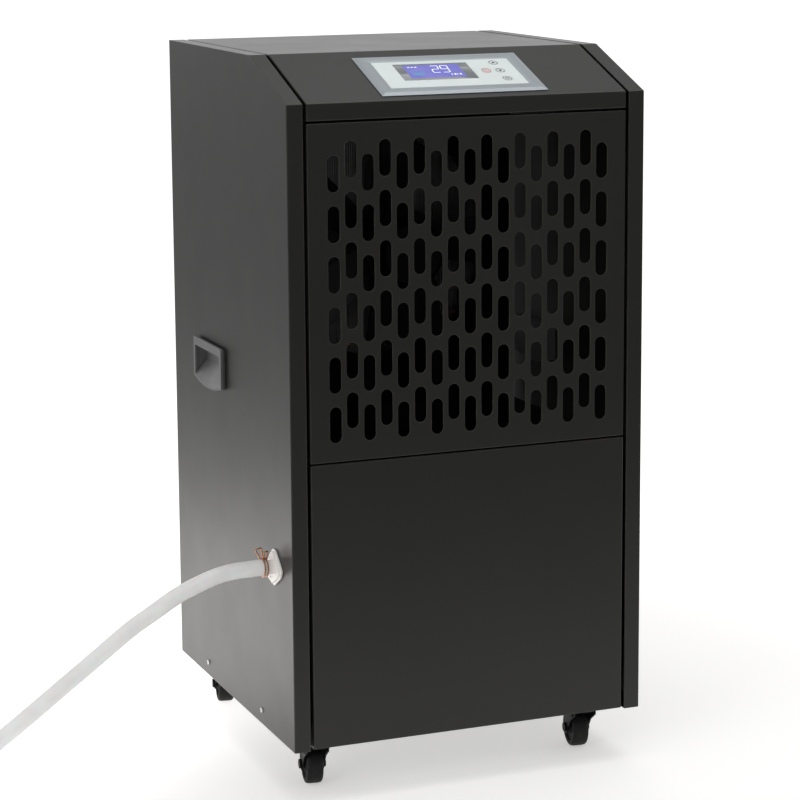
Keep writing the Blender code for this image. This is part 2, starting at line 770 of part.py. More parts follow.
def deck_plate():
    """The floor of the air chamber, with its edges turned down and holes for the pipes."""
    half = INNER_HALF
    deck = box("deck_plate", (-half, CHAMBER_FRONT, DECK_TOP - DECK_FLANGE), (half, CHAMBER_REAR, DECK_TOP))
    hollow = box(
        "deck_hollow",
        (-half + PAN_THICKNESS, CHAMBER_FRONT + PAN_THICKNESS, DECK_TOP - DECK_FLANGE - CUT_PAST),
        (half - PAN_THICKNESS, CHAMBER_REAR - PAN_THICKNESS, DECK_TOP - PAN_THICKNESS),
    )
    cut(deck, hollow)
    pipes = ((DRAIN_AT, DRAIN_TUBE_RADIUS), (SUCTION_AT, LINE_RADIUS), (DISCHARGE_AT, LINE_RADIUS))
    low, high = DECK_TOP - CUT_PAST, DECK_TOP + CUT_PAST
    for (x, y), radius in pipes:
        matrix = Matrix.Translation((x, y, 0))
        cut(deck, cylinder("deck_hole", radius + LINE_HOLE, low, high, matrix, steps=12))
    return paint(deck, "painted_black")


# ---------------------------------------------------------------- controls


def display_bezel():
    """A raised frame whose outer edge slopes down to the cover."""
    matrix = slope_matrix() @ Matrix.Translation((0, PANEL_S, 0))
    half_x, half_y = BEZEL_SIZE[0] / 2, BEZEL_SIZE[1] / 2
    bezel = box("display_bezel", (-half_x, -half_y, GAP), (half_x, half_y, BEZEL_HEIGHT), matrix)
    round_edges(bezel, BEZEL_ROUNDING)
    inner_x, inner_y = PLATE_SIZE[0] / 2 + GAP, PLATE_SIZE[1] / 2 + GAP
    hole = box("bezel_hole", (-inner_x, -inner_y, -CUT_PAST), (inner_x, inner_y, CUT_PAST), matrix)
    return paint(cut(bezel, hole), "silver_bezel")


def keypad_plate():
    """The film-covered plate in the bezel, with a window and four key holes."""
    half_x, half_y = PLATE_SIZE[0] / 2, PLATE_SIZE[1] / 2
    outline = rectangle(-half_x, PANEL_S - half_y, half_x, PANEL_S + half_y)
    window = inset(window_outline(), -GAP)
    keys = [circle(x, s, KEY_RADIUS + KEY_CLEARANCE, 16) for x, s in KEY_PLACES.values()]
    keypad = plate("keypad_plate", [outline, window, *keys], PLATE_BOTTOM, PLATE_TOP, matrix=slope_matrix())
    return paint(keypad, "keypad_film")


def window_outline():
    x, s = WINDOW_AT
    half_x, half_s = WINDOW_SIZE[0] / 2, WINDOW_SIZE[1] / 2
    return rectangle(x - half_x, s - half_s, x + half_x, s + half_s)


def display_window():
    window = plate("display_window", [window_outline()], PLATE_BOTTOM, PLATE_TOP, matrix=slope_matrix())
    return paint(window, "display_glass")


def control_key(name, x, s):
    """A round key, flush with the film, with its origin on its press axis."""
    matrix = slope_matrix() @ Matrix.Translation((x, s, PLATE_TOP))
    flat = KEY_RADIUS - KEY_EDGE
    profile = ((0, KEY_CROWN), (flat, KEY_CROWN), (KEY_RADIUS, 0), (KEY_RADIUS, -KEY_DEPTH), (0, -KEY_DEPTH))
    return smooth(paint(turned(name, profile, matrix, steps=16), "keypad_film"))


def display_board():
    """The circuit board under the display."""
    matrix = slope_matrix() @ Matrix.Translation((0, PANEL_S, 0))
    board = box("display_board", (-0.0770, -0.0300, -0.0110), (0.0770, 0.0300, -0.0094), matrix)
    module = box("display_module", (-0.0640, -0.0160, -0.0100), (0.0280, 0.0260, -0.0040), matrix)
    return paint(join(board, module), "circuit_board")


# ---------------------------------------------------------------- handles


def bowed_outline(half, low, high, sag):
    """An outline in YZ, straight on top and bowed below."""
    bow = []
    for i in range(BOW_STEPS + 1):
        along = -1 + 2 * i / BOW_STEPS
        bow.append((HANDLE_Y + half * along, low - sag * (1 - along * along)))
    return bow + [(HANDLE_Y + half, high), (HANDLE_Y - half, high)]


def handle_outline(margin):
    """The handle's edge seen from the side, moved inwards by the margin."""
    low, high = HANDLE_BOTTOM + margin, HANDLE_BOTTOM + HANDLE_HEIGHT - margin
    return bowed_outline(HANDLE_WIDTH / 2 - margin, low, high, HANDLE_SAG)


def handle(name, side):
    """A moulded cup: a rim that stands off the side panel on a neck, and a pocket with a scooped floor."""
    under_rim = HANDLE_PROUD - RIM_THICKNESS
    rim = plate(name, [handle_outline(0)], *side_span(side, -under_rim, -HANDLE_PROUD), ACROSS_X)
    round_edges(rim, RIM_ROUNDING)
    behind = POCKET_DEPTH - HANDLE_PROUD + POCKET_BACK
    span = side_span(side, behind, -under_rim - RIM_OVERLAP)
    body = plate(name + "_body", [handle_outline(HANDLE_WALL / 2)], *span, ACROSS_X)
    return paint(cut(join(rim, body), *pocket_cutters(side)), "grey_plastic")


def pocket_cutters(side):
    """The scoop, the room behind the rim's band, and the two recesses behind the rim's ends."""
    face = WIDTH / 2 + HANDLE_PROUD
    back = face - POCKET_DEPTH
    half = HANDLE_WIDTH / 2 - HANDLE_WALL
    low, high = HANDLE_BOTTOM + RIM_FOOT, HANDLE_BOTTOM + HANDLE_HEIGHT - RIM_BAND
    mouth = bowed_outline(half, low, high, HANDLE_SAG)
    inner = bowed_outline(half, low + SCOOP_RISE + SCOOP_SAG, high, SCOOP_SAG)
    scoop = loft(
        "handle_scoop",
        [(side * (face + CUT_PAST), mouth), (side * face, mouth), (side * back, inner)],
    )
    behind_rim = face - RIM_THICKNESS
    xs = sorted((side * back, side * behind_rim))
    finger = box(
        "finger_room",
        (xs[0], HANDLE_Y - half - END_RECESS, low + SCOOP_RISE + SCOOP_SAG),
        (xs[1], HANDLE_Y + half + END_RECESS, high + FINGER_RISE),
    )
    cutters = [scoop, finger]
    for end in (-1, 1):
        ys = sorted((HANDLE_Y + end * (half - GAP), HANDLE_Y + end * (half + END_RECESS)))
        cutters.append(box("end_recess", (xs[0], ys[0], low + END_RECESS_LIFT), (xs[1], ys[1], high)))
    return cutters


# ---------------------------------------------------------------- drain and hose


def drain_spout():
    """A moulded outlet: a rounded flange with a raised face, and a hollow stub through the side panel."""
    matrix = Matrix.Translation((LEFT, SPOUT_Y, SPOUT_Z)) @ TOWARDS_LEFT
    stub = cylinder("drain_spout", SPOUT_RADIUS, -SPOUT_ROOT, SPOUT_REACH, matrix, steps=16)
    at_spout = Matrix.Translation((0, SPOUT_Y, SPOUT_Z))
    base_outline = rounded(list(FLANGE_OUTLINE), FLANGE_CORNER, 2)
    base = plate("spout_base", [base_outline], LEFT - FLANGE_BASE, LEFT - GAP, ACROSS_X, at_spout)
    face_outline = rounded(inset(list(FLANGE_OUTLINE), FLANGE_STEP), FLANGE_CORNER / 2, 2)
    span = (LEFT - FLANGE_HEIGHT, LEFT - FLANGE_BASE / 2)
    face = plate("spout_face", [face_outline], *span, ACROSS_X, at_spout)
    bore = cylinder("spout_bore", SPOUT_BORE, -2 * CUT_PAST, 2 * CUT_PAST, matrix, steps=12)
    return paint(cut(join(stub, base, face), bore), "white_plastic")


def hose_clamp():
    """A spring clamp round the hose's end, with two prongs to squeeze together."""
    matrix = Matrix.Translation((CLAMP_X, SPOUT_Y, SPOUT_Z)) @ TOWARDS_LEFT
    inner, outer = HOSE_RADIUS + CLAMP_CLEARANCE, HOSE_RADIUS + CLAMP_OUTER
    ring = ((inner, CLAMP_HALF), (outer, CLAMP_HALF), (outer, -CLAMP_HALF), (inner, -CLAMP_HALF))
    clamp = turned("hose_clamp", ring, matrix, steps=24, closed=True)
    for foot, reach in CLAMP_PRONGS:
        base = Vector((CLAMP_X, SPOUT_Y, SPOUT_Z)) + Vector(foot)
        tip = base + Vector(reach)
        join(clamp, as_mesh(tube("clamp_prong", (base, base.lerp(tip, 0.5), tip), CLAMP_WIRE, 1)))
    return paint(clamp, "copper")


def smooth_route(points, steps):
    """Points on one smooth curve through the given ones."""
    ends = [Vector(p) for p in points]
    slopes = [(ends[min(i + 1, len(ends) - 1)] - ends[max(i - 1, 0)]) / 6 for i in range(len(ends))]
    slopes[0] *= 2
    slopes[-1] *= 2
    route = [ends[0]]
    for i in range(len(ends) - 1):
        start, end = ends[i], ends[i + 1]
        run = interpolate_bezier(start, start + slopes[i], end - slopes[i + 1], end, steps + 1)
        route.extend(run[1:])
    return route


def drain_hose():
    """The hose from the spout down to the floor, where it enters its coil."""
    hose = tube("drain_hose", smooth_route(HOSE_ROUTE, HOSE_STEP), HOSE_RADIUS, HOSE_SIDES)
    return paint(hose, "hose_vinyl")


def hose_coil():
    """The outer shape of the coil that the rest of the hose lies in."""
    matrix = Matrix.Translation((*COIL_CENTRE, 0))
    edge, low, high = 0.006, GAP, 2 * HOSE_RADIUS
    profile = (
        (COIL_INNER + edge, high),
        (COIL_OUTER - edge, high),
        (COIL_OUTER, high - edge),
        (COIL_OUTER, low + edge),
        (COIL_OUTER - edge, low),
        (COIL_INNER + edge, low),
        (COIL_INNER, low + edge),
        (COIL_INNER, high - edge),
    )
    return smooth(paint(turned("hose_coil", profile, matrix, steps=32, closed=True), "hose_vinyl"))


# ---------------------------------------------------------------- casters


def caster(corner, x, y, yaw):
    """A top plate riveted to a swivelling fork, and a wheel on an axle behind the swivel axis."""
    turn = Matrix.Rotation(math.radians(yaw), 4, "Z")
    swivel = place("caster_swivel_" + corner, None, Matrix.Translation((x, y, 0)) @ turn)
    caster_plate(corner, x, y)
    caster_fork(corner, swivel)
    at_axle = Matrix.Translation((0, CASTER_TRAIL, WHEEL_RADIUS)) @ TOWARDS_RIGHT
    caster_axle(corner, at_axle, swivel)
    caster_wheel(corner, at_axle, swivel)


def caster_plate(corner, x, y):
    """The fixed plate with its kingpin, which runs through the fork's crown."""
    half_x, half_y, thickness = CASTER_PLATE
    top = CASTER_HEIGHT - GAP
    matrix = Matrix.Translation((x, y, 0))
    outline = rounded(rectangle(-half_x, -half_y, half_x, half_y), PLATE_CORNER, 2)
    base = plate("caster_plate_" + corner, [outline], top - thickness, top, matrix=matrix)
    nut_top = CROWN_INNER - GAP
    profile = (
        (0, top - KINGPIN_OVERLAP),
        (KINGPIN_RADIUS, top - KINGPIN_OVERLAP),
        (KINGPIN_RADIUS, nut_top),
        (KINGPIN_NUT, nut_top),
        (KINGPIN_NUT, nut_top - KINGPIN_NUT_EDGE),
        (0, nut_top - KINGPIN_NUT_HEIGHT),
    )
    return paint(join(base, turned("kingpin", profile, matrix, steps=12)), "painted_black")


def caster_fork(corner, swivel):
    """Two cheeks under a round crown that widens upwards. Each cheek narrows to the axle."""
    top = CASTER_HEIGHT - CASTER_PLATE[2] - 2 * GAP
    rim = (CROWN_RADIUS, top - CROWN_RIM)
    profile = ((0, top), (CROWN_RADIUS, top), rim, (CROWN_NECK, CROWN_LOW), (0, CROWN_LOW))
    crown = turned("caster_fork_" + corner, profile, None, swivel, 18)
    reach = FORK_INNER + FORK_THICKNESS
    low_corner = (-reach, BRIDGE_Y[0], CROWN_INNER)
    high_corner = (reach, BRIDGE_Y[1], CROWN_INNER + BRIDGE_THICKNESS)
    join(crown, box("fork_bridge", low_corner, high_corner, parent=swivel))
    axle_hole = circle(CASTER_TRAIL, WHEEL_RADIUS, AXLE_RADIUS + GAP * 2, 10)
    for side in (-1, 1):
        low, high = sorted((side * FORK_INNER, side * reach))
        join(crown, plate("fork_cheek", [cheek_outline(), axle_hole], low, high, ACROSS_X, parent=swivel))
    front, rear = WHEEL_ROOM_Y
    room = box("wheel_room", (-FORK_INNER, front, 0), (FORK_INNER, rear, CROWN_INNER), parent=swivel)
    bore = cylinder("fork_bore", KINGPIN_BORE, *FORK_BORE_Z, parent=swivel, steps=12)
    return paint(cut(crown, room, bore), "painted_black")


def cheek_outline():
    """A fork cheek seen from the side, in local Y and Z, ending in an arc round the axle."""
    arc = []
    for i in range(5):
        angle = math.radians(-170 + 160 * i / 4)
        y = CASTER_TRAIL + CHEEK_FOOT * math.cos(angle)
        arc.append((y, WHEEL_RADIUS + CHEEK_FOOT * math.sin(angle)))
    rear = [(0.0330, 0.0500), (0.0300, CHEEK_TOP)]
    front = [(-0.0150, CHEEK_TOP), (-0.0150, 0.0520), (0.0040, 0.0400)]
    return arc + rear + front


def caster_axle(corner, matrix, swivel):
    """A headed axle through both cheeks."""
    head, head_thickness = AXLE_HEAD
    inner = FORK_INNER + FORK_THICKNESS + GAP
    outer = inner + head_thickness
    profile = (
        (0, outer),
        (head, outer),
        (head, inner),
        (AXLE_RADIUS, inner),
        (AXLE_RADIUS, -inner),
        (head, -inner),
        (head, -outer),
        (0, -outer),
    )
    return smooth(paint(turned("caster_axle_" + corner, profile, matrix, swivel, 12), "painted_black"))


def caster_wheel(corner, matrix, swivel):
    """A wheel with a hub, a dished web and a rounded tread."""
    half = WHEEL_WIDTH / 2
    web = half - WEB_DISH
    side = ((AXLE_BORE, half), (WHEEL_HUB, half), (WEB_INNER, web), (WEB_OUTER, web))
    upper = [*side, (WHEEL_RADIUS - TREAD_EDGE, half), (WHEEL_RADIUS, web)]
    profile = upper + [(radius, -height) for radius, height in reversed(upper)]
    wheel = turned("caster_wheel_" + corner, profile, matrix, swivel, 20, closed=True)
    return smooth(paint(wheel, "tyre_rubber"))


# ---------------------------------------------------------------- air path


def finned_coil(name, y_low, y_high):
    """A fin block: upright fins on a spine, open to the rear."""
    pitch = COIL_WIDTH / COIL_FINS
    left = -COIL_WIDTH / 2
    outline = [(left, y_low), (left + COIL_WIDTH, y_low)]
    for i in reversed(range(COIL_FINS)):
        start = left + i * pitch
        fin = start + pitch * (1 - FIN_SHARE)
        outline.append((start + pitch, y_high))
        outline.append((fin, y_high))
        outline.append((fin, y_low + COIL_SPINE))
        outline.append((start, y_low + COIL_SPINE))
    outline[-1] = (left, y_low + COIL_SPINE)
    coil = plate(name, [outline], COIL_BOTTOM, COIL_TOP)
    return paint(coil, "fin_aluminium")


def drip_tray():
    """A tray under both coils, with a hollow outlet stub through the deck."""
    low = DECK_TOP + GAP
    y_low, y_high = TRAY_Y
    tray = box("drip_tray", (-TRAY_HALF, y_low, low), (TRAY_HALF, y_high, low + TRAY_HEIGHT))
    hollow = box(
        "tray_hollow",
        (-TRAY_HALF + TRAY_WALL, y_low + TRAY_WALL, low + TRAY_WALL),
        (TRAY_HALF - TRAY_WALL, y_high - TRAY_WALL, low + TRAY_HEIGHT + CUT_PAST),
    )
    matrix = Matrix.Translation((*DRAIN_AT, 0))
    outlet = cylinder("tray_outlet", TRAY_OUTLET, low - CUT_PAST, low + CUT_PAST, matrix, steps=12)
    return paint(cut(tray, hollow, outlet), "black_plastic")


def drain_tube():
    """The soft tube from under the tray to the spout, inside the cabinet."""
    x, y = DRAIN_AT
    route = (
        (x, y, DECK_TOP),
        (x, y, 0.380),
        (x, y - 0.012, 0.352),
        (x, y - 0.080, 0.330),
        (x, y - 0.180, 0.310),
        (x - 0.004, SPOUT_Y + 0.045, 0.298),
        (x - 0.020, SPOUT_Y + 0.008, 0.290),
        (x - 0.040, SPOUT_Y, SPOUT_Z),
        (LEFT + 0.0060, SPOUT_Y, SPOUT_Z),
    )
    return paint(tube("drain_tube", smooth_route(route, 2), DRAIN_TUBE_RADIUS, 1), "hose_vinyl")


def fan_shroud():
    """The plate in front of the coils, with the fan's round opening."""
    outline = rectangle(-SHROUD_HALF, DECK_TOP + GAP, SHROUD_HALF, TOP - RETURN - 0.001)
    opening = circle(0, FAN_Z, SHROUD_RADIUS, 40)
    face = -SHROUD_Y
    shroud = plate("fan_shroud", [outline, opening], face - SHROUD_THICKNESS, face, ACROSS_Y)
    return paint(shroud, "painted_black")


def fan_motor():
    """A round motor with its shaft towards the rear."""
    matrix = Matrix.Translation((0, 0, FAN_Z)) @ Matrix.Rotation(-math.pi / 2, 4, "X")
    profile = (
        (0, FAN_Y + HUB_HALF + 0.004),
        (SHAFT_RADIUS, FAN_Y + HUB_HALF + 0.004),
        (SHAFT_RADIUS, MOTOR_REAR + 0.003),
        (0.014, MOTOR_REAR + 0.003),
        (0.016, MOTOR_REAR - 0.004),
        (MOTOR_RADIUS - 0.006, MOTOR_REAR - 0.004),
        (MOTOR_RADIUS, MOTOR_REAR - 0.012),
        (MOTOR_RADIUS, MOTOR_FRONT + 0.008),
        (MOTOR_RADIUS - 0.006, MOTOR_FRONT),
        (0, MOTOR_FRONT),
    )
    return smooth(paint(turned("fan_motor", profile, matrix, steps=18), "painted_black"))


def motor_bracket():
    """A stand on the deck whose ring holds the motor."""
    ring = MOTOR_RADIUS + BRACKET_RING
    foot = DECK_TOP + GAP
    arc = [math.radians(-40 + 260 * i / 16) for i in range(17)]
    loop = [(ring * math.cos(a), FAN_Z + ring * math.sin(a)) for a in arc]
    left_foot = [(-BRACKET_HALF, foot + BRACKET_FOOT), (-BRACKET_HALF, foot)]
    outline = [*loop, *left_foot, (BRACKET_HALF, foot), (BRACKET_HALF, foot + BRACKET_FOOT)]
    hole = circle(0, FAN_Z, MOTOR_RADIUS + BRACKET_CLEARANCE, 24)
    web = [(-0.022, FAN_Z - 0.075), (-0.044, foot + 0.030), (0.044, foot + 0.030), (0.022, FAN_Z - 0.075)]
    bracket = plate("motor_bracket", [outline, hole, web], *BRACKET_Y, ACROSS_Y)
    return paint(bracket, "painted_black")


def fan_wheel():
    """An axial fan: a cup-shaped hub with twisted blades, turning on the motor's shaft."""
    matrix = Matrix.Translation((0, FAN_Y, FAN_Z)) @ Matrix.Rotation(-math.pi / 2, 4, "X")
    profile = (
        (SHAFT_BORE, HUB_HALF),
        (HUB_RADIUS - 0.004, HUB_HALF),
        (HUB_RADIUS, HUB_HALF - 0.005),
        (HUB_RADIUS, -HUB_HALF),
        (SHAFT_BORE, -HUB_HALF),
    )
    wheel = turned("fan_wheel", profile, matrix, steps=16, closed=True)
    for i in range(FAN_BLADES):
        turn = Matrix.Rotation(2 * math.pi * i / FAN_BLADES, 4, "Z")
        pitch = Matrix.Rotation(BLADE_PITCH, 4, "X")
        half = BLADE_THICKNESS / 2
        join(wheel, plate("fan_blade", [blade_outline()], -half, half, matrix=matrix @ turn @ pitch))
    return paint(wheel, "black_plastic")


def blade_outline():
    """A blade seen along the fan's axis, widening from the hub to its curved tip."""
    root = HUB_RADIUS - BLADE_ROOT
    tip = []
    for i in range(7):
        angle = math.radians(-16 + 32 * i / 6)
        tip.append((FAN_RADIUS * math.cos(angle), FAN_RADIUS * math.sin(angle)))
    return [(root, -BLADE_ROOT_HALF), *tip, (root, BLADE_ROOT_HALF)]


# ---------------------------------------------------------------- cooling circuit


def compressor():
    """A hollow welded shell, open below, on a three-armed foot plate."""
    matrix = Matrix.Translation((*COMPRESSOR_AT, 0))
    radius, low, high = COMPRESSOR_RADIUS, COMPRESSOR_BOTTOM, COMPRESSOR_TOP
    wall = COMPRESSOR_WALL
    profile = (
        (0, high),
        (0.020, high - 0.002),
        (0.042, high - 0.012),
        (radius - 0.004, high - 0.028),
        (radius, high - 0.048),
        (radius, low + 0.004),
        (radius - wall, low),
        (radius - wall, high - 0.052),
        (0.034, high - 0.028),
        (0, high - 0.020),
    )
    shell = turned("compressor", profile, matrix, steps=18)
    drain = circle(0, 0, 0.020, 12)
    arms_outline = rounded(foot_plate_outline(), 0.008)
    arms = plate("compressor_arms", [arms_outline, drain], low, low + FOOT_PLATE, matrix=matrix)
    smooth(shell)
    return paint(join(shell, arms), "painted_black")


def foot_plate_outline():
    """A three-cornered plate with its corners over the feet."""
    reach = FOOT_REACH * FOOT_PLATE_REACH
    return [(reach * math.cos(a), reach * math.sin(a)) for a in foot_angles()]


def foot_angles():
    return [math.radians(90 + 120 * i) for i in range(3)]


def compressor_foot(index, angle):
    """A rubber grommet between the base pan and the foot plate."""
    x = COMPRESSOR_AT[0] + FOOT_REACH * math.cos(angle)
    y = COMPRESSOR_AT[1] + FOOT_REACH * math.sin(angle)
    low, high = BOTTOM + PAN_THICKNESS + GAP, COMPRESSOR_BOTTOM - GAP
    middle = (low + high) / 2
    waist = FOOT_RADIUS * 0.75
    profile = ((0, high), (FOOT_RADIUS, high), (waist, middle), (FOOT_RADIUS, low), (0, low))
    foot = turned(f"compressor_foot_{index}", profile, Matrix.Translation((x, y, 0)), steps=12)
    return smooth(paint(foot, "tyre_rubber"))


def accumulator():
    """The small upright vessel in the suction line."""
    matrix = Matrix.Translation((*ACCUMULATOR_AT, 0))
    low, high = ACCUMULATOR_Z
    radius = ACCUMULATOR_RADIUS
    neck, dome = 0.010, 0.022
    profile = (
        (0, high),
        (neck, high - 0.002),
        (radius, high - dome),
        (radius, low + dome),
        (neck, low + 0.002),
        (0, low),
    )
    return smooth(paint(turned("accumulator", profile, matrix, steps=16), "painted_black"))


def refrigerant_lines():
    """The pipes between the compressor, the accumulator and the coils. Each stops short of what it joins."""
    cx, cy = COMPRESSOR_AT
    ax, ay = ACCUMULATOR_AT
    sx, sy = SUCTION_AT
    dx, dy = DISCHARGE_AT
    suction = (
        (ax, ay, ACCUMULATOR_Z[1] + GAP),
        (ax, ay, 0.300),
        (ax - 0.010, ay + 0.020, 0.330),
        (sx + 0.020, sy - 0.030, 0.350),
        (sx, sy, 0.368),
        (sx, sy, DECK_TOP - PAN_THICKNESS - 0.002),
    )
    discharge = (
        (cx + 0.030, cy, COMPRESSOR_TOP + 0.0015),
        (cx + 0.030, cy + 0.004, 0.330),
        (cx + 0.050, cy + 0.030, 0.350),
        (dx, dy - 0.030, 0.362),
        (dx, dy, 0.380),
        (dx, dy, DECK_TOP - PAN_THICKNESS - 0.002),
    )
    paint(tube("suction_line", smooth_route(suction, 3), LINE_RADIUS, 1), "copper")
    paint(tube("discharge_line", smooth_route(discharge, 3), LINE_RADIUS, 1), "copper")


def capillary_line():
    """The thin metering tube between the coils, wound in a few turns beside them."""
    first_x = -COIL_WIDTH / 2 - 0.012
    last_x = first_x - CAPILLARY_PITCH * CAPILLARY_TURNS
    y, z = CAPILLARY_AT
    route = [(first_x, y - 0.028, z - 0.060), (first_x, y - 0.022, z - 0.015)]
    for i in range(CAPILLARY_TURNS * CAPILLARY_STEPS + 1):
        angle = math.pi + 2 * math.pi * i / CAPILLARY_STEPS
        across = (y + CAPILLARY_LOOP * math.cos(angle), z + CAPILLARY_LOOP * math.sin(angle))
        route.append((first_x - CAPILLARY_PITCH * i / CAPILLARY_STEPS, *across))
    route += [(last_x, y - 0.020, z + 0.040), (last_x, y - 0.010, z + 0.100)]
    paint(tube("capillary_line", route, CAPILLARY_RADIUS, 0), "copper")


def control_box():
    """The open steel box for the mains electrics, beside the compressor."""
    low = BOTTOM + PAN_THICKNESS + GAP
    (left, front), (right, rear), wall = BOX_LOW, BOX_HIGH, BOX_WALL
    case = box("control_box", (left, front, low), (right, rear, low + BOX_HEIGHT))
    hollow = box(
        "control_box_hollow",
        (left + wall, front + wall, low + wall),
        (right - wall, rear - wall, low + BOX_HEIGHT + CUT_PAST),
    )
    return paint(cut(case, hollow), "galvanised_steel")


# ---------------------------------------------------------------- assembly


def build_cabinet():
    side_panel("side_panel_left", -1)
    side_panel("side_panel_right", 1)
    top_cover()
    front_grille()
    front_lower_panel()
    rear_panel()
    intake_guard()
    air_filter()
    cord_gland()
    base_pan()
    deck_plate()
    handle("handle_left", -1)
    handle("handle_right", 1)


def build_controls():
    display_bezel()
    keypad_plate()
    display_window()
    display_board()
    for name, (x, s) in KEY_PLACES.items():
        control_key(name, x, s)


def build_drain():
    drain_spout()
    hose_clamp()
    drain_hose()
    hose_coil()
    drain_tube()
    drip_tray()


def build_casters():
    for corner, yaw in CASTER_YAW.items():
        x = CASTER_MIDDLE + (CASTER_X if "right" in corner else -CASTER_X)
        y = CASTER_Y if "rear" in corner else -CASTER_Y
        caster(corner, x, y, yaw)


def build_insides():
    finned_coil("evaporator_coil", *EVAPORATOR_Y)
    finned_coil("condenser_coil", *CONDENSER_Y)
    fan_shroud()
    fan_motor()
    motor_bracket()
    fan_wheel()
    compressor()
    for index, angle in enumerate(foot_angles(), 1):
        compressor_foot(index, angle)
    accumulator()
    refrigerant_lines()
    capillary_line()
    control_box()


build_cabinet()
build_controls()
build_drain()
build_casters()
build_insides()
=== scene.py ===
"""Looks for the commercial dehumidifier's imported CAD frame. Metres, +Z up, and the front faces -Y."""

import math

import bmesh
import bpy
from mathutils import Matrix, Vector
from mathutils.geometry import interpolate_bezier


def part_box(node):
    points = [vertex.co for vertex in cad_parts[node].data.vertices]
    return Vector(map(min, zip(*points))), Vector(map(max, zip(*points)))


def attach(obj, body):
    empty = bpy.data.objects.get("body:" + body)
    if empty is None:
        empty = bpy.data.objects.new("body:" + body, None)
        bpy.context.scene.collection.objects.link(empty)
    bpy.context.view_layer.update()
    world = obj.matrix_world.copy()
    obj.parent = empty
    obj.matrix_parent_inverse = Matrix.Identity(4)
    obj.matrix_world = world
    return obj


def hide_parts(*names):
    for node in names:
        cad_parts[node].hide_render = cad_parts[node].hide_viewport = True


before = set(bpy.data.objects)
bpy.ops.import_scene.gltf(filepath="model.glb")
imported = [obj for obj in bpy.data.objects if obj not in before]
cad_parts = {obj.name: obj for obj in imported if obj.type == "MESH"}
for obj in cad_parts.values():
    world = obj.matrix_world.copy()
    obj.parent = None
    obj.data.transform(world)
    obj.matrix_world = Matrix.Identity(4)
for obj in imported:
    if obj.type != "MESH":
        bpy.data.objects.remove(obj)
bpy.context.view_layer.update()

# ---------------------------------------------------------------- sizes taken from the frame

PANEL_LOW, PANEL_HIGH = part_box("side_panel_left")
GRILLE_LOW, GRILLE_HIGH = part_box("front_grille")
HANDLE_LOW, HANDLE_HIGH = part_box("handle_left")
NET_LOW, NET_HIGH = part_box("filter_mesh")
GLAND_LOW, GLAND_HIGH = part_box("cord_gland")
REAR_LOW, REAR_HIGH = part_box("rear_panel")

LEFT = PANEL_LOW.x
FRONT = PANEL_LOW.y
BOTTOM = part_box("front_lower_panel")[0].z
TOP = PANEL_HIGH.z
SHEET = 0.0015
FOLD_RADIUS = 0.0012
GAP = 0.0003
CUT_PAST = 0.010  # how far a cutter runs past the face it opens

# Slots of the outlet grille
SLOT_COLUMNS = 17
SLOT_ROWS = 6
SLOT_PITCH = (0.02182, 0.06009)
SLOT_SIZE = (0.0150, 0.0438)
SLOT_TOP_Z = BOTTOM + 0.6995
SLOT_STAGGER = 0.0164

# Slope for the controls: local X across, local Y up the slope, local Z out of it
SLOPE_BOTTOM = BOTTOM + 0.7825
SLOPE_DEPTH = 0.1327
SLOPE = Matrix.Translation((0, FRONT, SLOPE_BOTTOM)) @ Matrix.Rotation(
    math.atan2(TOP - SLOPE_BOTTOM, SLOPE_DEPTH), 4, "X"
)
PANEL_S = 0.0660
BEZEL_HALF = (0.10785, 0.0550)
PLATE_HALF = (0.08975, 0.0365)
PLATE_TOP = 0.0019
WINDOW_AT = (-0.0162, 0.0722)
WINDOW_HALF = (0.04825, 0.0230)
LIT_AT = (-0.0172, 0.0733)
LIT_HALF = (0.0362, 0.0186)
KEY_RADIUS = 0.0065
KEY_CROWN = 0.0003
KEY_DEPTH = 0.0026
KEY_PLACES = {
    "key_up": (0.0673, 0.0910),
    "key_down": (0.0673, 0.0682),
    "key_timer": (0.0673, 0.0450),
    "key_power": (0.0492, 0.0692),
}
KEY_RING = (0.0048, 0.0058)
PRINT_THICKNESS = 0.00004
STROKE = 0.0009

# Display: places are measured from the middle of its lit field
LAYER = 0.00003
LAYER_LIFT = 0.00002  # of the lit field over the lens
PRINT_LIFT = 0.00001  # of the digits over the lit field
SEGMENTS = {  # the middle of each bar of a digit, in half widths and half heights
    "a": (0, 1),
    "b": (1, 0.5),
    "c": (1, -0.5),
    "d": (0, -1),
    "e": (-1, -0.5),
    "f": (-1, 0.5),
    "g": (0, 0),
}
DIGIT_SIZE = (0.0092, 0.0190)
DIGIT_LEAN = 0.08
DIGIT_S = 0.0055
DIGITS = ((0.0030, "abged"), (0.0155, "abcdfg"))
UNIT_X = 0.0185
UNIT_PITCH = 0.0036
UNIT_WIDTHS = (0.0010, 0.0022, 0.0010, 0.0022)
UNIT_S = (-0.0122, -0.0086)
DASH_X = (-0.0310, -0.0280)
DASH_PITCH = 0.0045
DASH_S = (0.0120, 0.0136)
TANK_AT = (-0.0230, -0.0035)
TANK_HALF = (0.0080, 0.0075)
TANK_INNER = (0.0070, 0.0065)
LEVEL_AT = (-0.0230, -0.0065)
LEVEL_HALF = (0.0062, 0.0030)

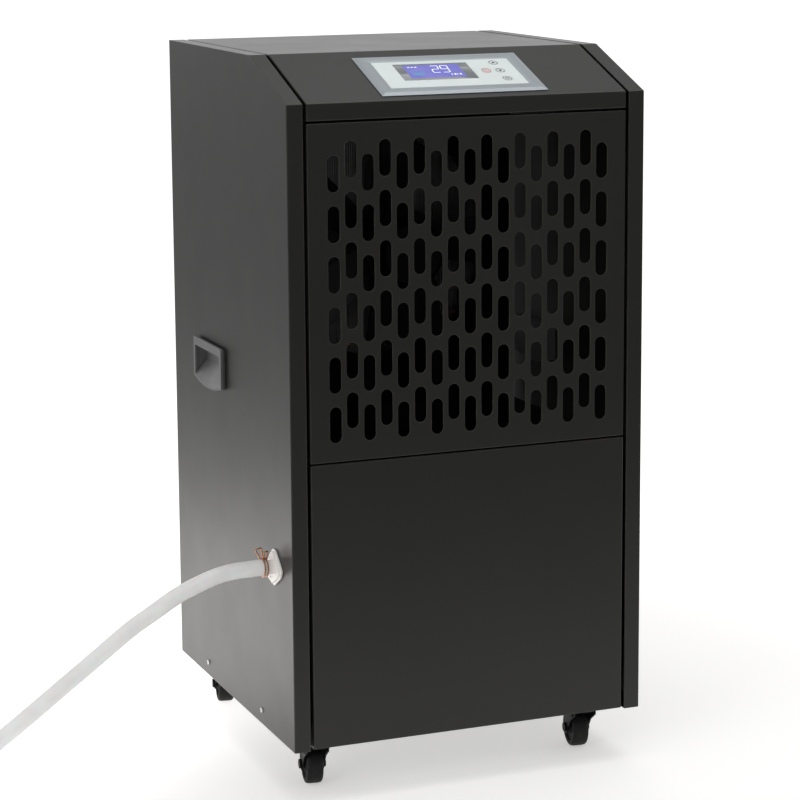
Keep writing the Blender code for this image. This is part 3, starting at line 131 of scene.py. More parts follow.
# Handles
HANDLE_Y = (HANDLE_LOW.y + HANDLE_HIGH.y) / 2
HANDLE_HALF = (HANDLE_HIGH.y - HANDLE_LOW.y) / 2
HANDLE_SAG = 0.0080
HANDLE_BOTTOM = HANDLE_LOW.z + HANDLE_SAG
HANDLE_TOP = HANDLE_HIGH.z
HANDLE_PROUD = 0.0063
HANDLE_WALL = 0.0062
RIM_THICKNESS = 0.0032
RIM_BAND = 0.0110
RIM_FOOT = 0.0025
POCKET_DEPTH = 0.0170
POCKET_BACK = 0.0022
SCOOP_RISE = 0.0165
SCOOP_SAG = 0.0030
FINGER_RISE = 0.0060
END_RECESS = 0.0016
END_RECESS_LIFT = 0.0030
RIM_OVERLAP = 0.0004

# Drain spout, clamp and hose
SPOUT_Y = -0.170
SPOUT_Z = BOTTOM + 0.217
SPOUT_RADIUS = 0.0088
SPOUT_REACH = 0.0116
FLANGE_OUTLINE = (
    (0.0200, 0.0060),
    (0.0060, 0.0210),
    (-0.0030, 0.0213),
    (-0.0280, 0.0000),
    (-0.0224, -0.0102),
    (0.0009, -0.0243),
    (0.0215, -0.0187),
)
FLANGE_CORNER = 0.0050
FLANGE_BASE = 0.0022
FLANGE_HEIGHT = 0.0048
FLANGE_STEP = 0.0030  # how much smaller its raised face is all round
SPOUT_BORE = 0.0045
SPOUT_ROOT = 0.0050
SPOUT_EDGE = 0.0004
FIXING_RADIUS = 0.0015
FIXING_DEPTH = 0.0018
FIXING_PLACES = ((0.0102, 0.0092), (-0.0125, -0.0020), (0.0060, -0.0138))
HOSE_RADIUS = 0.010
HOSE_LENGTH = 2.0
HOSE_BORE = 0.0075
HOSE_CUT = 0.009  # length of the cut end
CLAMP_X = LEFT - 0.0150
CLAMP_WIRE = 0.0010
CLAMP_SPACING = 0.0019  # of each ring from the clamp's middle
HOSE_ROUTE = (
    (-0.2440, -0.1700, 0.2870),
    (-0.2650, -0.1700, 0.2871),
    (-0.2930, -0.1708, 0.2858),
    (-0.3200, -0.1730, 0.2800),
    (-0.3570, -0.1770, 0.2670),
    (-0.3900, -0.1815, 0.2500),
    (-0.4240, -0.1865, 0.2320),
    (-0.4740, -0.1940, 0.1995),
    (-0.5220, -0.2000, 0.1680),
    (-0.5560, -0.2040, 0.1453),
    (-0.5880, -0.2070, 0.1245),
    (-0.6250, -0.2090, 0.0985),
    (-0.6600, -0.2100, 0.0735),
    (-0.6920, -0.2100, 0.0520),
    (-0.7180, -0.2100, 0.0365),
    (-0.7420, -0.2100, 0.0245),
    (-0.7750, -0.2105, 0.0140),
)
CLAMP_LOOPS = (  # place along the hose and turn round it, half widths and height, and lean
    ((-0.0016, 18.0), (0.0018, 0.0036, 0.0128), (-0.22, 0.50, 1.0)),
    ((0.0016, -4.0), (0.0016, 0.0024, 0.0094), (0.06, -0.05, 1.0)),
)
COIL_CENTRE = Vector((-0.815, -0.080))
COIL_RADII = (0.130, 0.090)
COIL_Z = 0.0116
COIL_STEPS = 24
TIE_TURNS = (0.42, 0.87)
TIE_HALF = 0.006
TIE_THICKNESS = 0.0010
TIE_CLEARANCE = 0.0004

# Casters
CASTER_YAW = {"front_left": -9, "front_right": -8, "rear_left": -11, "rear_right": 8}
CASTER_TRAIL = 0.025
WHEEL_RADIUS = 0.025
WHEEL_HALF = 0.0105
AXLE_BORE = 0.00405

# Camera
CAMERA_AT = Vector((-1.2215, -3.0578, 1.1121))
CAMERA_TARGET = Vector((0.0007, 0.0, 0.5477))
CAMERA_ROLL = -0.0067
CAMERA_LENS = 116.46
CAMERA_SHIFT = -0.10

# World and floor. Each range is a value's ends, then the levels at them
SKY_LEVEL = (0.05, 0.6, 1.0, 0.38)  # against height
SKY_FACING = (-0.7, 0.5, 0.45, 1.25)  # against the direction from front to back
FLOOR_SIZE = 60.0
FLOOR_TINT = (1.0, 0.985, 0.96, 1.0)
# The floor's grey against y is painted shade, darker in front so the front panels reflect shade
FLOOR_SHADE = (-2.0, -0.75, 0.24, 0.84)  # against y
# The glow ranges below are painted light: the floor shines though it is no lamp
GLOW_FAR = (0.55, 1.4, 0.43, 0.80)  # against the distance from the middle
GLOW_LEFT = (-1.15, -0.80, 0.0, 1.0)  # across the view
GLOW_FRONT = (-1.1, -0.35, 0.0, 1.0)  # against y
VIEW_SLANT = -0.176
SPOT_AT = (-0.68, 0.55, 0.0)
SPOT_GLOW = (0.25, 0.85, 1.05, 0.0)  # against the distance from its middle

# Local axes of a flat outline: drawn in YZ and thick along X, or drawn in XZ and thick along -Y
ACROSS_X = Matrix(((0, 0, 1), (1, 0, 0), (0, 1, 0))).to_4x4()
ACROSS_Y = Matrix(((1, 0, 0), (0, 0, -1), (0, 1, 0))).to_4x4()
TOWARDS_LEFT = Matrix(((0, 0, -1), (0, 1, 0), (1, 0, 0))).to_4x4()
TOWARDS_RIGHT = Matrix(((0, 0, 1), (0, 1, 0), (-1, 0, 0))).to_4x4()
TOWARDS_REAR = Matrix.Rotation(-math.pi / 2, 4, "X")


# ---------------------------------------------------------------- camera, lights and floor


def make_camera():
    data = bpy.data.cameras.new("camera")
    data.sensor_width = 36.0
    data.lens = CAMERA_LENS
    data.shift_y = CAMERA_SHIFT
    data.clip_end = 300.0
    camera = bpy.data.objects.new("camera", data)
    bpy.context.scene.collection.objects.link(camera)
    camera.location = CAMERA_AT
    forward = (CAMERA_TARGET - CAMERA_AT).normalized()
    right = forward.cross(Vector((0, 0, 1))).normalized()
    up = right.cross(forward)
    across = right * math.cos(CAMERA_ROLL) + up * math.sin(CAMERA_ROLL)
    upward = up * math.cos(CAMERA_ROLL) - right * math.sin(CAMERA_ROLL)
    camera.rotation_euler = Matrix((across, upward, -forward)).transposed().to_euler()
    bpy.context.scene.camera = camera


def area_light(name, place, target, size, power):
    data = bpy.data.lights.new(name, "AREA")
    data.shape = "RECTANGLE"
    data.size, data.size_y = size
    data.energy = power
    light = bpy.data.objects.new(name, data)
    bpy.context.scene.collection.objects.link(light)
    light.location = place
    light.rotation_euler = (Vector(target) - Vector(place)).to_track_quat("-Z", "Y").to_euler()
    light.visible_camera = False


def make_lights():
    area_light("overhead", (0.2, -0.3, 2.6), (0, 0, 0), (2.4, 2.0), 25)
    area_light("front_top", (-0.6, -2.6, 2.6), (0, 0, 0.7), (2.0, 1.2), 8)
    area_light("front_low", (2.6, -5.2, 0.7), (0, 0, 0.7), (1.6, 1.2), 3)
    area_light("left_soft", (-3.2, -2.2, 1.6), (-0.4, 0, 0.2), (1.6, 1.6), 26)


def node(tree, kind, inputs=None, **settings):
    """A shader node. A value that is a socket is linked, and any other is set."""
    made = tree.nodes.new("ShaderNode" + kind)
    for key, value in settings.items():
        setattr(made, key, value)
    for key, value in (inputs or {}).items():
        if isinstance(value, bpy.types.NodeSocket):
            tree.links.new(value, made.inputs[key])
        else:
            made.inputs[key].default_value = value
    return made


def make_world():
    """A pale dome, brightest at the horizon behind the object and dim in front of it."""
    world = bpy.data.worlds.new("studio")
    world.use_nodes = True
    tree = world.node_tree
    background = tree.nodes["Background"]
    background.inputs["Color"].default_value = (1.0, 1.0, 1.0, 1.0)
    direction = node(tree, "SeparateXYZ", {"Vector": node(tree, "TexCoord").outputs["Generated"]})
    level = eased(tree, direction.outputs["Z"], *SKY_LEVEL)
    facing = eased(tree, direction.outputs["Y"], *SKY_FACING)
    tree.links.new(maths(tree, "MULTIPLY", level, facing), background.inputs["Strength"])
    bpy.context.scene.world = world


def eased(tree, value, from_low, from_high, low, high):
    """The value carried smoothly from one range to another."""
    settings = {"Value": value, "From Min": from_low, "From Max": from_high, "To Min": low, "To Max": high}
    return node(tree, "MapRange", settings, interpolation_type="SMOOTHSTEP").outputs["Result"]


def maths(tree, operation, first, second):
    return node(tree, "Math", {0: first, 1: second}, operation=operation).outputs["Value"]


def make_floor():
    """A pale floor with painted light and painted shade: it glows brightest behind the object and to its
    left, and its grey is painted darker in front of it.
    """
    shape = bmesh.new()
    bmesh.ops.create_circle(shape, cap_ends=True, segments=64, radius=FLOOR_SIZE)
    floor = place_shape("floor", shape)
    material = bpy.data.materials.new("floor")
    material.use_nodes = True
    tree = material.node_tree
    shader = tree.nodes["Principled BSDF"]
    shader.inputs["Roughness"].default_value = 0.9
    shader.inputs["Specular IOR Level"].default_value = 0.1
    shader.inputs["Emission Color"].default_value = FLOOR_TINT
    place = node(tree, "TexCoord").outputs["Object"]
    parts = node(tree, "SeparateXYZ", {"Vector": place})
    x, y = parts.outputs["X"], parts.outputs["Y"]
    # Painted shade: the floor's grey falls towards the front, so the front panels reflect a dark floor.
    painted_shade = eased(tree, y, *FLOOR_SHADE)
    painted_shade_colour = node(tree, "CombineColor", {"Red": painted_shade, "Green": painted_shade, "Blue": painted_shade}).outputs["Color"]
    tree.links.new(painted_shade_colour, shader.inputs["Base Color"])
    # Painted light: the floor glows far out, left of the view, back from the front, and round the spot.
    distance = node(tree, "VectorMath", {0: place}, operation="LENGTH").outputs["Value"]
    across = maths(tree, "ADD", x, maths(tree, "MULTIPLY", y, VIEW_SLANT))
    glow = maths(tree, "MULTIPLY", eased(tree, distance, *GLOW_FAR), eased(tree, across, *GLOW_LEFT))
    glow = maths(tree, "MULTIPLY", glow, eased(tree, y, *GLOW_FRONT))
    from_spot = node(tree, "VectorMath", {0: place, 1: SPOT_AT}, operation="DISTANCE").outputs["Value"]
    strength = maths(tree, "ADD", glow, eased(tree, from_spot, *SPOT_GLOW))
    tree.links.new(strength, shader.inputs["Emission Strength"])
    floor.data.materials.append(material)


# ---------------------------------------------------------------- materials


def new_material(name, colour, roughness, metallic=0.0, sockets=None):
    """A Principled material, with its tree, its shader and its object coordinates in metres."""
    material = bpy.data.materials.new(name)
    material.use_nodes = True
    tree = material.node_tree
    shader = tree.nodes["Principled BSDF"]
    shader.inputs["Base Color"].default_value = (*colour, 1.0)
    shader.inputs["Roughness"].default_value = roughness
    shader.inputs["Metallic"].default_value = metallic
    for key, value in (sockets or {}).items():
        shader.inputs[key].default_value = value
    place = node(tree, "TexCoord").outputs["Object"]
    return material, tree, shader, place


def noise(tree, place, scale, detail=2.0):
    return node(tree, "TexNoise", {"Vector": place, "Scale": scale, "Detail": detail}).outputs["Fac"]


def ranged(tree, value, low, high, from_low=0.3, from_high=0.7):
    """The value spread between low and high. A noise's own values lie mostly between 0.3 and 0.7."""
    settings = {"Value": value, "From Min": from_low, "From Max": from_high, "To Min": low, "To Max": high}
    return node(tree, "MapRange", settings).outputs["Result"]


def mixed(tree, share, first, second):
    """A colour between two, each a colour or a socket."""
    inputs = {0: share}
    for index, colour in ((6, first), (7, second)):
        inputs[index] = colour if isinstance(colour, bpy.types.NodeSocket) else (*colour, 1.0)
    return node(tree, "Mix", inputs, data_type="RGBA").outputs[2]


def scaled(colour, factor):
    return tuple(min(1.0, channel * factor) for channel in colour)


def bumps(tree, shader, layers):
    """Bump layers, each a height socket, a strength and a depth in metres."""
    normal = None
    for height, strength, depth in layers:
        inputs = {"Height": height, "Strength": strength, "Distance": depth}
        if normal:
            inputs["Normal"] = normal
        normal = node(tree, "Bump", inputs).outputs["Normal"]
    tree.links.new(normal, shader.inputs["Normal"])


def edges_of(tree, radius):
    """A mask that is 1 on edges sharper than the radius."""
    rounded_normal = node(tree, "Bevel", {"Radius": radius}, samples=4).outputs["Normal"]
    normals = {0: rounded_normal, 1: node(tree, "NewGeometry").outputs["Normal"]}
    alike = node(tree, "VectorMath", normals, operation="DOT_PRODUCT").outputs["Value"]
    return ranged(tree, alike, 1.0, 0.0, 0.90, 0.995)


def powder_coat():
    """Charcoal powder coat: fine orange peel, a little mottling, and a painted highlight along the folds,
    patchy like rubbed wear.
    """
    colour = (0.0115, 0.0110, 0.0099)
    sockets = {"Specular IOR Level": 0.38}
    material, tree, shader, place = new_material("powder_coat", colour, 0.36, sockets=sockets)
    mottle = ranged(tree, noise(tree, place, 7.0, 3.0), 0.0, 1.0)
    base = mixed(tree, mottle, scaled(colour, 0.94), scaled(colour, 1.06))
    speck = ranged(tree, noise(tree, place, 2600.0, 1.0), 0.0, 0.35, 0.52, 0.75)
    base = mixed(tree, speck, base, scaled(colour, 2.2))
    # Painted highlight along the folds, patchy like rubbed wear: the edge mask lightens the coat
    # fifteenfold.
    patchy = ranged(tree, noise(tree, place, 45.0, 4.0), 0.25, 1.0)
    wear_and_painted_highlight = maths(tree, "MULTIPLY", edges_of(tree, 0.0013), patchy)
    share = ranged(tree, wear_and_painted_highlight, 0.0, 0.45, 0.0, 1.0)
    base = mixed(tree, share, base, scaled(colour, 15.0))
    tree.links.new(base, shader.inputs["Base Color"])
    tree.links.new(ranged(tree, noise(tree, place, 16.0, 3.0), 0.34, 0.37), shader.inputs["Roughness"])
    peel = noise(tree, place, 380.0, 2.0)
    grain = noise(tree, place, 1500.0, 2.0)
    bumps(tree, shader, [(peel, 0.18, 0.0002), (grain, 0.16, 0.00008)])
    return material


def coated(name, colour, roughness, tone, rough=None, layers=(), metallic=0.0, sockets=None):
    """A material whose colour, gloss and relief come from noise.

    tone is the noise's scale and detail, its two colours, and how far it spreads between them.
    rough is the noise's scale and detail, and the lowest and highest roughness.
    Each layer is a bump's scale, detail, strength and depth in metres.
    """
    material, tree, shader, place = new_material(name, colour, roughness, metallic, sockets)
    grain, (first, second), spread = tone
    share = ranged(tree, noise(tree, place, *grain), *spread)
    tree.links.new(mixed(tree, share, first, second), shader.inputs["Base Color"])
    if rough:
        grain, limits = rough
        tree.links.new(ranged(tree, noise(tree, place, *grain), *limits), shader.inputs["Roughness"])
    bumps(tree, shader, [(noise(tree, place, *layer[:2]), *layer[2:]) for layer in layers])
    return material


def moulded_plastic(name, colour, roughness, spread=0.10, scale=900.0, depth=0.00006):
    """Moulded plastic with a fine spark-eroded grain and slight handling marks."""
    tone = ((30.0, 4.0), (scaled(colour, 1 - spread), scaled(colour, 1 + spread)), (0.0, 1.0))
    rough = ((60.0, 5.0), (roughness - 0.05, roughness + 0.06))
    layers = ((scale / 6, 2.0, 0.10, depth * 2), (scale, 2.0, 0.45, depth))
    return coated(name, colour, roughness, tone, rough, layers)


def galvanised_steel():
    """Zinc-dipped sheet with its patchwork of crystals."""
    colour = (0.36, 0.37, 0.38)
    material, tree, shader, place = new_material("galvanised_steel", colour, 0.42, 1.0)
    crystals = node(tree, "TexVoronoi", {"Vector": place, "Scale": 90.0, "Randomness": 1.0})
    tone = node(tree, "SeparateColor", {"Color": crystals.outputs["Color"]}).outputs["Red"]
    base = mixed(tree, tone, scaled(colour, 0.75), scaled(colour, 1.2))
    dull = ranged(tree, noise(tree, place, 14.0, 4.0), 0.0, 0.4)
    base = mixed(tree, dull, base, scaled(colour, 0.6))
    tree.links.new(base, shader.inputs["Base Color"])
    tree.links.new(ranged(tree, tone, 0.34, 0.55, 0.0, 1.0), shader.inputs["Roughness"])
    bumps(tree, shader, [(tone, 0.10, 0.0001), (noise(tree, place, 800.0), 0.08, 0.00005)])
    return material


def bare_metal(name, colour, roughness, streak=(1.0, 1.0, 1.0), tarnish=0.5, scale=400.0):
    """Bare metal with fine scratches along one direction and dull patches."""
    material, tree, shader, place = new_material(name, colour, roughness, 1.0)
    stretched = node(tree, "Mapping", {"Vector": place, "Scale": streak}).outputs["Vector"]
    scratches = noise(tree, stretched, scale, 3.0)
    patches = ranged(tree, noise(tree, place, 40.0, 4.0), 0.0, tarnish)
    base = mixed(tree, patches, colour, scaled(colour, 0.45))
    tree.links.new(base, shader.inputs["Base Color"])
    tree.links.new(ranged(tree, scratches, roughness - 0.08, roughness + 0.14), shader.inputs["Roughness"])
    bumps(tree, shader, [(scratches, 0.15, 0.00004)])
    return material


def painted_black():
    """Black stoving paint over steel. On the fan chamber's shroud, bracket and deck it is painted shade, so
    the grille's slots read dark.
    """
    colour = (0.0035, 0.0035, 0.0034)
    tone = ((90.0, 5.0), (colour, scaled(colour, 2.4)), (0.0, 0.5))
    rough = ((50.0, 3.0), (0.34, 0.48))
    layers = ((500.0, 2.0, 0.15, 0.0001), (2000.0, 2.0, 0.10, 0.00004))
    return coated("painted_black", colour, 0.40, tone, rough, layers, sockets={"Specular IOR Level": 0.07})


def tyre_rubber():
    """Black rubber, dusty on its tread."""
    colour = (0.0070, 0.0068, 0.0065)
    tone = ((180.0, 6.0), (colour, (0.022, 0.021, 0.020)), (0.0, 0.55, 0.45, 0.75))
    layers = ((300.0, 3.0, 0.20, 0.0002), (1800.0, 2.0, 0.25, 0.00006))
    return coated("tyre_rubber", colour, 0.62, tone, None, layers, sockets={"Specular IOR Level": 0.22})


def hose_vinyl():
    """Milky, slightly see-through vinyl, faintly cloudy and uneven."""
    colour = (0.90, 0.90, 0.89)
    sockets = {"Subsurface Weight": 0.25, "Subsurface Scale": 0.004, "Specular IOR Level": 0.5}
    tone = ((35.0, 3.0), (scaled(colour, 0.97), (0.95, 0.95, 0.94)), (0.0, 1.0))
    rough = ((80.0, 3.0), (0.28, 0.42))
    layers = ((150.0, 2.0, 0.10, 0.0003), (1200.0, 2.0, 0.12, 0.00005))
    return coated("hose_vinyl", colour, 0.34, tone, rough, layers, sockets=sockets)


def keypad_film():
    """Matt polyester film with a very fine texture."""
    colour = (0.70, 0.76, 0.755)
    tone = ((25.0, 3.0), (scaled(colour, 0.97), scaled(colour, 1.02)), (0.0, 1.0))
    rough = ((120.0, 3.0), (0.34, 0.46))
    return coated("keypad_film", colour, 0.40, tone, rough, ((3500.0, 1.0, 0.20, 0.00003),))


def silver_paint():
    """Satin silver lacquer on plastic."""
    colour = (0.30, 0.335, 0.36)
    sockets = {"Coat Weight": 0.25, "Coat Roughness": 0.25}
    tone = ((3200.0, 1.0), (scaled(colour, 0.88), scaled(colour, 1.14)), (0.0, 1.0))
    rough = ((55.0, 4.0), (0.28, 0.40))
    return coated("silver_bezel", colour, 0.34, tone, rough, ((2200.0, 1.0, 0.10, 0.00003),), 0.35, sockets)


def display_glass():
    """The grey masked border of the display's lens."""
    colour = (0.155, 0.170, 0.185)
    tone = ((40.0, 2.0), (scaled(colour, 0.94), scaled(colour, 1.06)), (0.0, 1.0))
    rough = ((70.0, 4.0), (0.08, 0.22))
    layers = ((900.0, 2.0, 0.03, 0.00002),)
    return coated("display_glass", colour, 0.12, tone, rough, layers, sockets={"Coat Weight": 0.5})


def lit(name, colour, strength, second=None):
    """A lit part of the display, uneven as a backlight is."""
    material, tree, shader, place = new_material(name, scaled(colour, 0.4), 0.25)
    uneven = ranged(tree, noise(tree, place, 45.0, 2.0), 0.0, 1.0)
    glow = mixed(tree, uneven, scaled(colour, 0.9), second or colour)
    tree.links.new(glow, shader.inputs["Emission Color"])
    shader.inputs["Emission Strength"].default_value = strength
    return material


def circuit_board():
    """Green solder mask with copper tracks under it."""
    material, tree, shader, place = new_material("circuit_board", (0.02, 0.12, 0.05), 0.38)
    cells = node(tree, "TexVoronoi", {"Vector": place, "Scale": 260.0}, distance="CHEBYCHEV")
    track = ranged(tree, cells.outputs["Distance"], 0.0, 1.0, 0.30, 0.36)
    tree.links.new(mixed(tree, track, (0.02, 0.11, 0.05), (0.05, 0.22, 0.09)), shader.inputs["Base Color"])
    bumps(tree, shader, [(track, 0.3, 0.00005)])
    return material


def make_materials():
    grey = moulded_plastic("grey_plastic", (0.110, 0.110, 0.110), 0.40, 0.08, 700.0, 0.00008)
    return {
        "powder_coat": powder_coat(),
        "galvanised_steel": galvanised_steel(),
        "grey_plastic": grey,
        "black_plastic": moulded_plastic("black_plastic", (0.012, 0.012, 0.012), 0.45, 0.15),
        "white_plastic": moulded_plastic("white_plastic", (0.86, 0.83, 0.80), 0.38, 0.05, 600.0),
        "silver_bezel": silver_paint(),
        "keypad_film": keypad_film(),
        "display_glass": display_glass(),
        "fin_aluminium": bare_metal("fin_aluminium", (0.62, 0.63, 0.64), 0.36, (1.0, 1.0, 0.05), 0.35),
        "copper": bare_metal("copper", (0.60, 0.30, 0.17), 0.28, tarnish=0.7),
        "painted_black": painted_black(),
        "tyre_rubber": tyre_rubber(),
        "hose_vinyl": hose_vinyl(),
        "circuit_board": circuit_board(),
        "filter_fabric": moulded_plastic("filter_fabric", (0.03, 0.03, 0.032), 0.7, 0.2),
    }


def extra_looks():
    """Looks of pieces that have no material slot of their own in the frame."""
    return {
        "zinc_steel": bare_metal("zinc_steel", (0.72, 0.71, 0.69), 0.34, (1.0, 0.2, 1.0), 0.3),
        "lit_blue": lit("lit_blue", (0.14, 0.14, 0.58), 0.66, (0.21, 0.20, 0.56)),
        "lit_white": lit("lit_white", (0.85, 0.88, 0.95), 1.0),
        "lit_teal": lit("lit_teal", (0.10, 0.26, 0.50), 0.75),
        "grey_ink": moulded_plastic("grey_ink", (0.10, 0.11, 0.11), 0.5),
        "dark_ink": moulded_plastic("dark_ink", (0.03, 0.03, 0.035), 0.5),
        "red_ink": moulded_plastic("red_ink", (0.50, 0.06, 0.05), 0.5),
    }


# ---------------------------------------------------------------- making and joining shapes


def place_object(name, data, matrix=None):
    obj = bpy.data.objects.new(name, data)
    bpy.context.scene.collection.objects.link(obj)
    obj.matrix_basis = matrix or Matrix()
    return obj


def place_shape(name, shape, matrix=None):
    mesh = bpy.data.meshes.new(name)
    shape.to_mesh(mesh)
    shape.free()
    return place_object(name, mesh, matrix)


def add_cuboid(shape, low, high):
    """Adds a cuboid between two corners."""
    verts = bmesh.ops.create_cube(shape, size=1.0)["verts"]
    low, high = Vector(low), Vector(high)
    stretch = Matrix.Translation((low + high) / 2) @ Matrix.Diagonal((*(high - low), 1))
    bmesh.ops.transform(shape, matrix=stretch, verts=verts)


def box(name, low, high, matrix=None):
    """A cuboid between two corners, given in the space of its matrix."""
    shape = bmesh.new()
    add_cuboid(shape, low, high)
    return place_shape(name, shape, matrix)


def applied(obj):
    """The object as one welded mesh, with its modifiers applied."""
    bpy.context.view_layer.update()
    evaluated = obj.evaluated_get(bpy.context.evaluated_depsgraph_get())
    mesh = bpy.data.meshes.new_from_object(evaluated)
    shape = bmesh.new()
    shape.from_mesh(mesh)
    bmesh.ops.remove_doubles(shape, verts=shape.verts, dist=1e-6)
    shape.to_mesh(mesh)
    shape.free()
    name, matrix = obj.name, obj.matrix_world.copy()
    bpy.data.objects.remove(obj, do_unlink=True)
    return place_object(name, mesh, matrix)


def plate(name, outlines, low, high, axes=None, matrix=None):
    """A flat plate between two heights on its third axis. Outlines inside the first are holes."""
    curve = bpy.data.curves.new(name, "CURVE")
    curve.dimensions = "2D"
    curve.fill_mode = "BOTH"
    curve.extrude = (high - low) / 2
    for outline in outlines:
        spline = curve.splines.new("POLY")
        spline.points.add(len(outline) - 1)
        for point, (u, v) in zip(spline.points, outline):
            point.co = (u, v, 0.0, 1.0)
        spline.use_cyclic_u = True
    middle = Matrix.Translation((0, 0, (low + high) / 2))
    return applied(place_object(name, curve, (matrix or Matrix()) @ (axes or Matrix()) @ middle))


def turned(name, profile, matrix=None, steps=48, closed=False):
    """A profile of (radius, height) points turned about the local Z axis, running down its outer side."""
    mesh = bpy.data.meshes.new(name)
    count = len(profile)
    edges = [(i, i + 1) for i in range(count - 1)]
    if closed:
        edges.append((count - 1, 0))
    mesh.from_pydata([(radius, 0.0, height) for radius, height in profile], edges, [])
    obj = place_object(name, mesh, matrix)
    screw = obj.modifiers.new("Turn", "SCREW")
    screw.steps = steps
    screw.render_steps = steps
    screw.use_merge_vertices = True
    screw.merge_threshold = 0.00001
    return applied(obj)


def tube(name, points, radius, sides=4, cyclic=False):
    """A round bar through the points, as a curve with filled ends."""
    curve = bpy.data.curves.new(name, "CURVE")
    curve.dimensions = "3D"
    curve.bevel_depth = radius
    curve.bevel_resolution = sides
    curve.use_fill_caps = True
    spline = curve.splines.new("POLY")
    spline.points.add(len(points) - 1)
    for point, position in zip(spline.points, points):
        point.co = (*position, 1.0)
    spline.use_cyclic_u = cyclic
    return place_object(name, curve)


def combined(obj, operation, others):
    for other in others:
        modifier = obj.modifiers.new(operation.title(), "BOOLEAN")
        modifier.operation = operation
        modifier.solver = "EXACT"
        modifier.object = other
    result = applied(obj)
    for other in others:
        bpy.data.objects.remove(other, do_unlink=True)
    return result


def cut(obj, *cutters):
    return combined(obj, "DIFFERENCE", cutters)


def join(obj, *others):
    return combined(obj, "UNION", others)


def merged(name, objects):
    """Separate solids as one piece."""
    shape = bmesh.new()
    for obj in objects:
        solid = applied(obj)
        solid.data.transform(solid.matrix_world)
        shape.from_mesh(solid.data)
        bpy.data.objects.remove(solid, do_unlink=True)
    return place_shape(name, shape)


def round_edges(obj, width, segments=3, angle=30):
    modifier = obj.modifiers.new("Round", "BEVEL")
    modifier.width = width
    modifier.segments = segments
    modifier.limit_method = "ANGLE"
    modifier.angle_limit = math.radians(angle)
    modifier.use_clamp_overlap = True
    return applied(obj)


def smooth(obj, angle=40):
    obj.data.shade_smooth()
    obj.data.set_sharp_from_angle(angle=math.radians(angle))
    return obj


def even_normals(obj):
    modifier = obj.modifiers.new("Even normals", "WEIGHTED_NORMAL")
    modifier.keep_sharp = True
    modifier.weight = 80
    return obj


def finished(obj, look, body="cabinet", stands_for=()):
    """Gives the piece its material and its body, and hides the CAD nodes it stands for."""
    obj.data.materials.clear()
    obj.data.materials.append(MATERIALS[look])
    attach(obj, body)
    if stands_for:
        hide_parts(*stands_for)
    return obj


# ---------------------------------------------------------------- outlines


def rectangle(low_u, low_v, high_u, high_v):
    return [(low_u, low_v), (high_u, low_v), (high_u, high_v), (low_u, high_v)]


def circle(centre_u, centre_v, radius, count=48):
    angles = [2 * math.pi * i / count for i in range(count)]
    return [(centre_u + radius * math.cos(a), centre_v + radius * math.sin(a)) for a in angles]


def slot_outline(centre_u, centre_v, width, length, arc=12):
    """An upright slot with round ends."""
    radius = width / 2
    straight = length / 2 - radius
    points = []
    for end, start in ((1, 0.0), (-1, math.pi)):
        for i in range(arc + 1):
            angle = start + math.pi * i / arc
            v = centre_v + end * straight + radius * math.sin(angle)
            points.append((centre_u + radius * math.cos(angle), v))
    return points


def rounded(points, radius, steps=6):
    """The outline with each corner turned on an arc."""
    result = []
    for before, corner, after in zip(points[-1:] + points[:-1], points, points[1:] + points[:1]):
        here = Vector(corner)
        back = (Vector(before) - here).normalized()
        ahead = (Vector(after) - here).normalized()
        half = back.angle(ahead) / 2
        reach = radius / math.tan(half)
        centre = here + (back + ahead).normalized() * radius / math.sin(half)
        start = here + back * reach - centre
        turn = start.angle_signed(here + ahead * reach - centre)
        for i in range(steps + 1):
            spoke = start.copy()
            spoke.rotate(Matrix.Rotation(-turn * i / steps, 2))
            result.append(tuple(centre + spoke))
    return result


# ---------------------------------------------------------------- hose


def smooth_route(points, steps):
    """Points on one smooth curve through the given ones."""
    ends = [Vector(p) for p in points]
    last = len(ends) - 1
    slopes = [(ends[min(i + 1, last)] - ends[max(i - 1, 0)]) / 6 for i in range(last + 1)]
    slopes[0] *= 2
    slopes[-1] *= 2
    route = [ends[0]]
    for i in range(last):
        start, end = ends[i], ends[i + 1]
        run = interpolate_bezier(start, start + slopes[i], end - slopes[i + 1], end, steps + 1)
        route.extend(run[1:])
    return route


def length_of(points):
    return sum((b - a).length for a, b in zip(points, points[1:]))


def coil_point(turn):
    """A point of the flat coil after so many turns from where the hose comes in."""
    outer, inner = COIL_RADII
    radius = outer - 2 * HOSE_RADIUS * turn
    angle = -math.pi / 2 - 2 * math.pi * turn
    flat = COIL_CENTRE + Vector((math.cos(angle), math.sin(angle))) * max(radius, inner - 0.01)
    return (flat.x, flat.y, COIL_Z)


def hose_points():
    """The hose's centreline at its real length: down to the floor, then round the coil."""
    turn = 0.0
    points = list(HOSE_ROUTE)
    while True:
        points.append(coil_point(turn))
        turn += 1 / COIL_STEPS
        route = smooth_route(points, 4)
        if length_of(route) >= HOSE_LENGTH:
            return route


def make_hose():
    route = hose_points()
    hose = tube("drain_hose_line", route, HOSE_RADIUS, 7)
    finished(hose, "hose_vinyl", stands_for=("drain_hose", "hose_coil"))
    pieces = [make_clamp(), make_hose_end(route), *make_ties()]


def make_hose_end(route):
    """The hose's cut end, with its bore."""
    along = (route[-1] - route[-2]).normalized()
    matrix = Matrix.Translation(route[-1]) @ along.to_track_quat("Z", "Y").to_matrix().to_4x4()
    start = GAP * 2 / 3
    ring = ((HOSE_BORE, HOSE_CUT), (HOSE_RADIUS, HOSE_CUT), (HOSE_RADIUS, start), (HOSE_BORE, start))
    end = smooth(turned("hose_cut_end", ring, matrix, closed=True))
    return finished(end, "hose_vinyl")


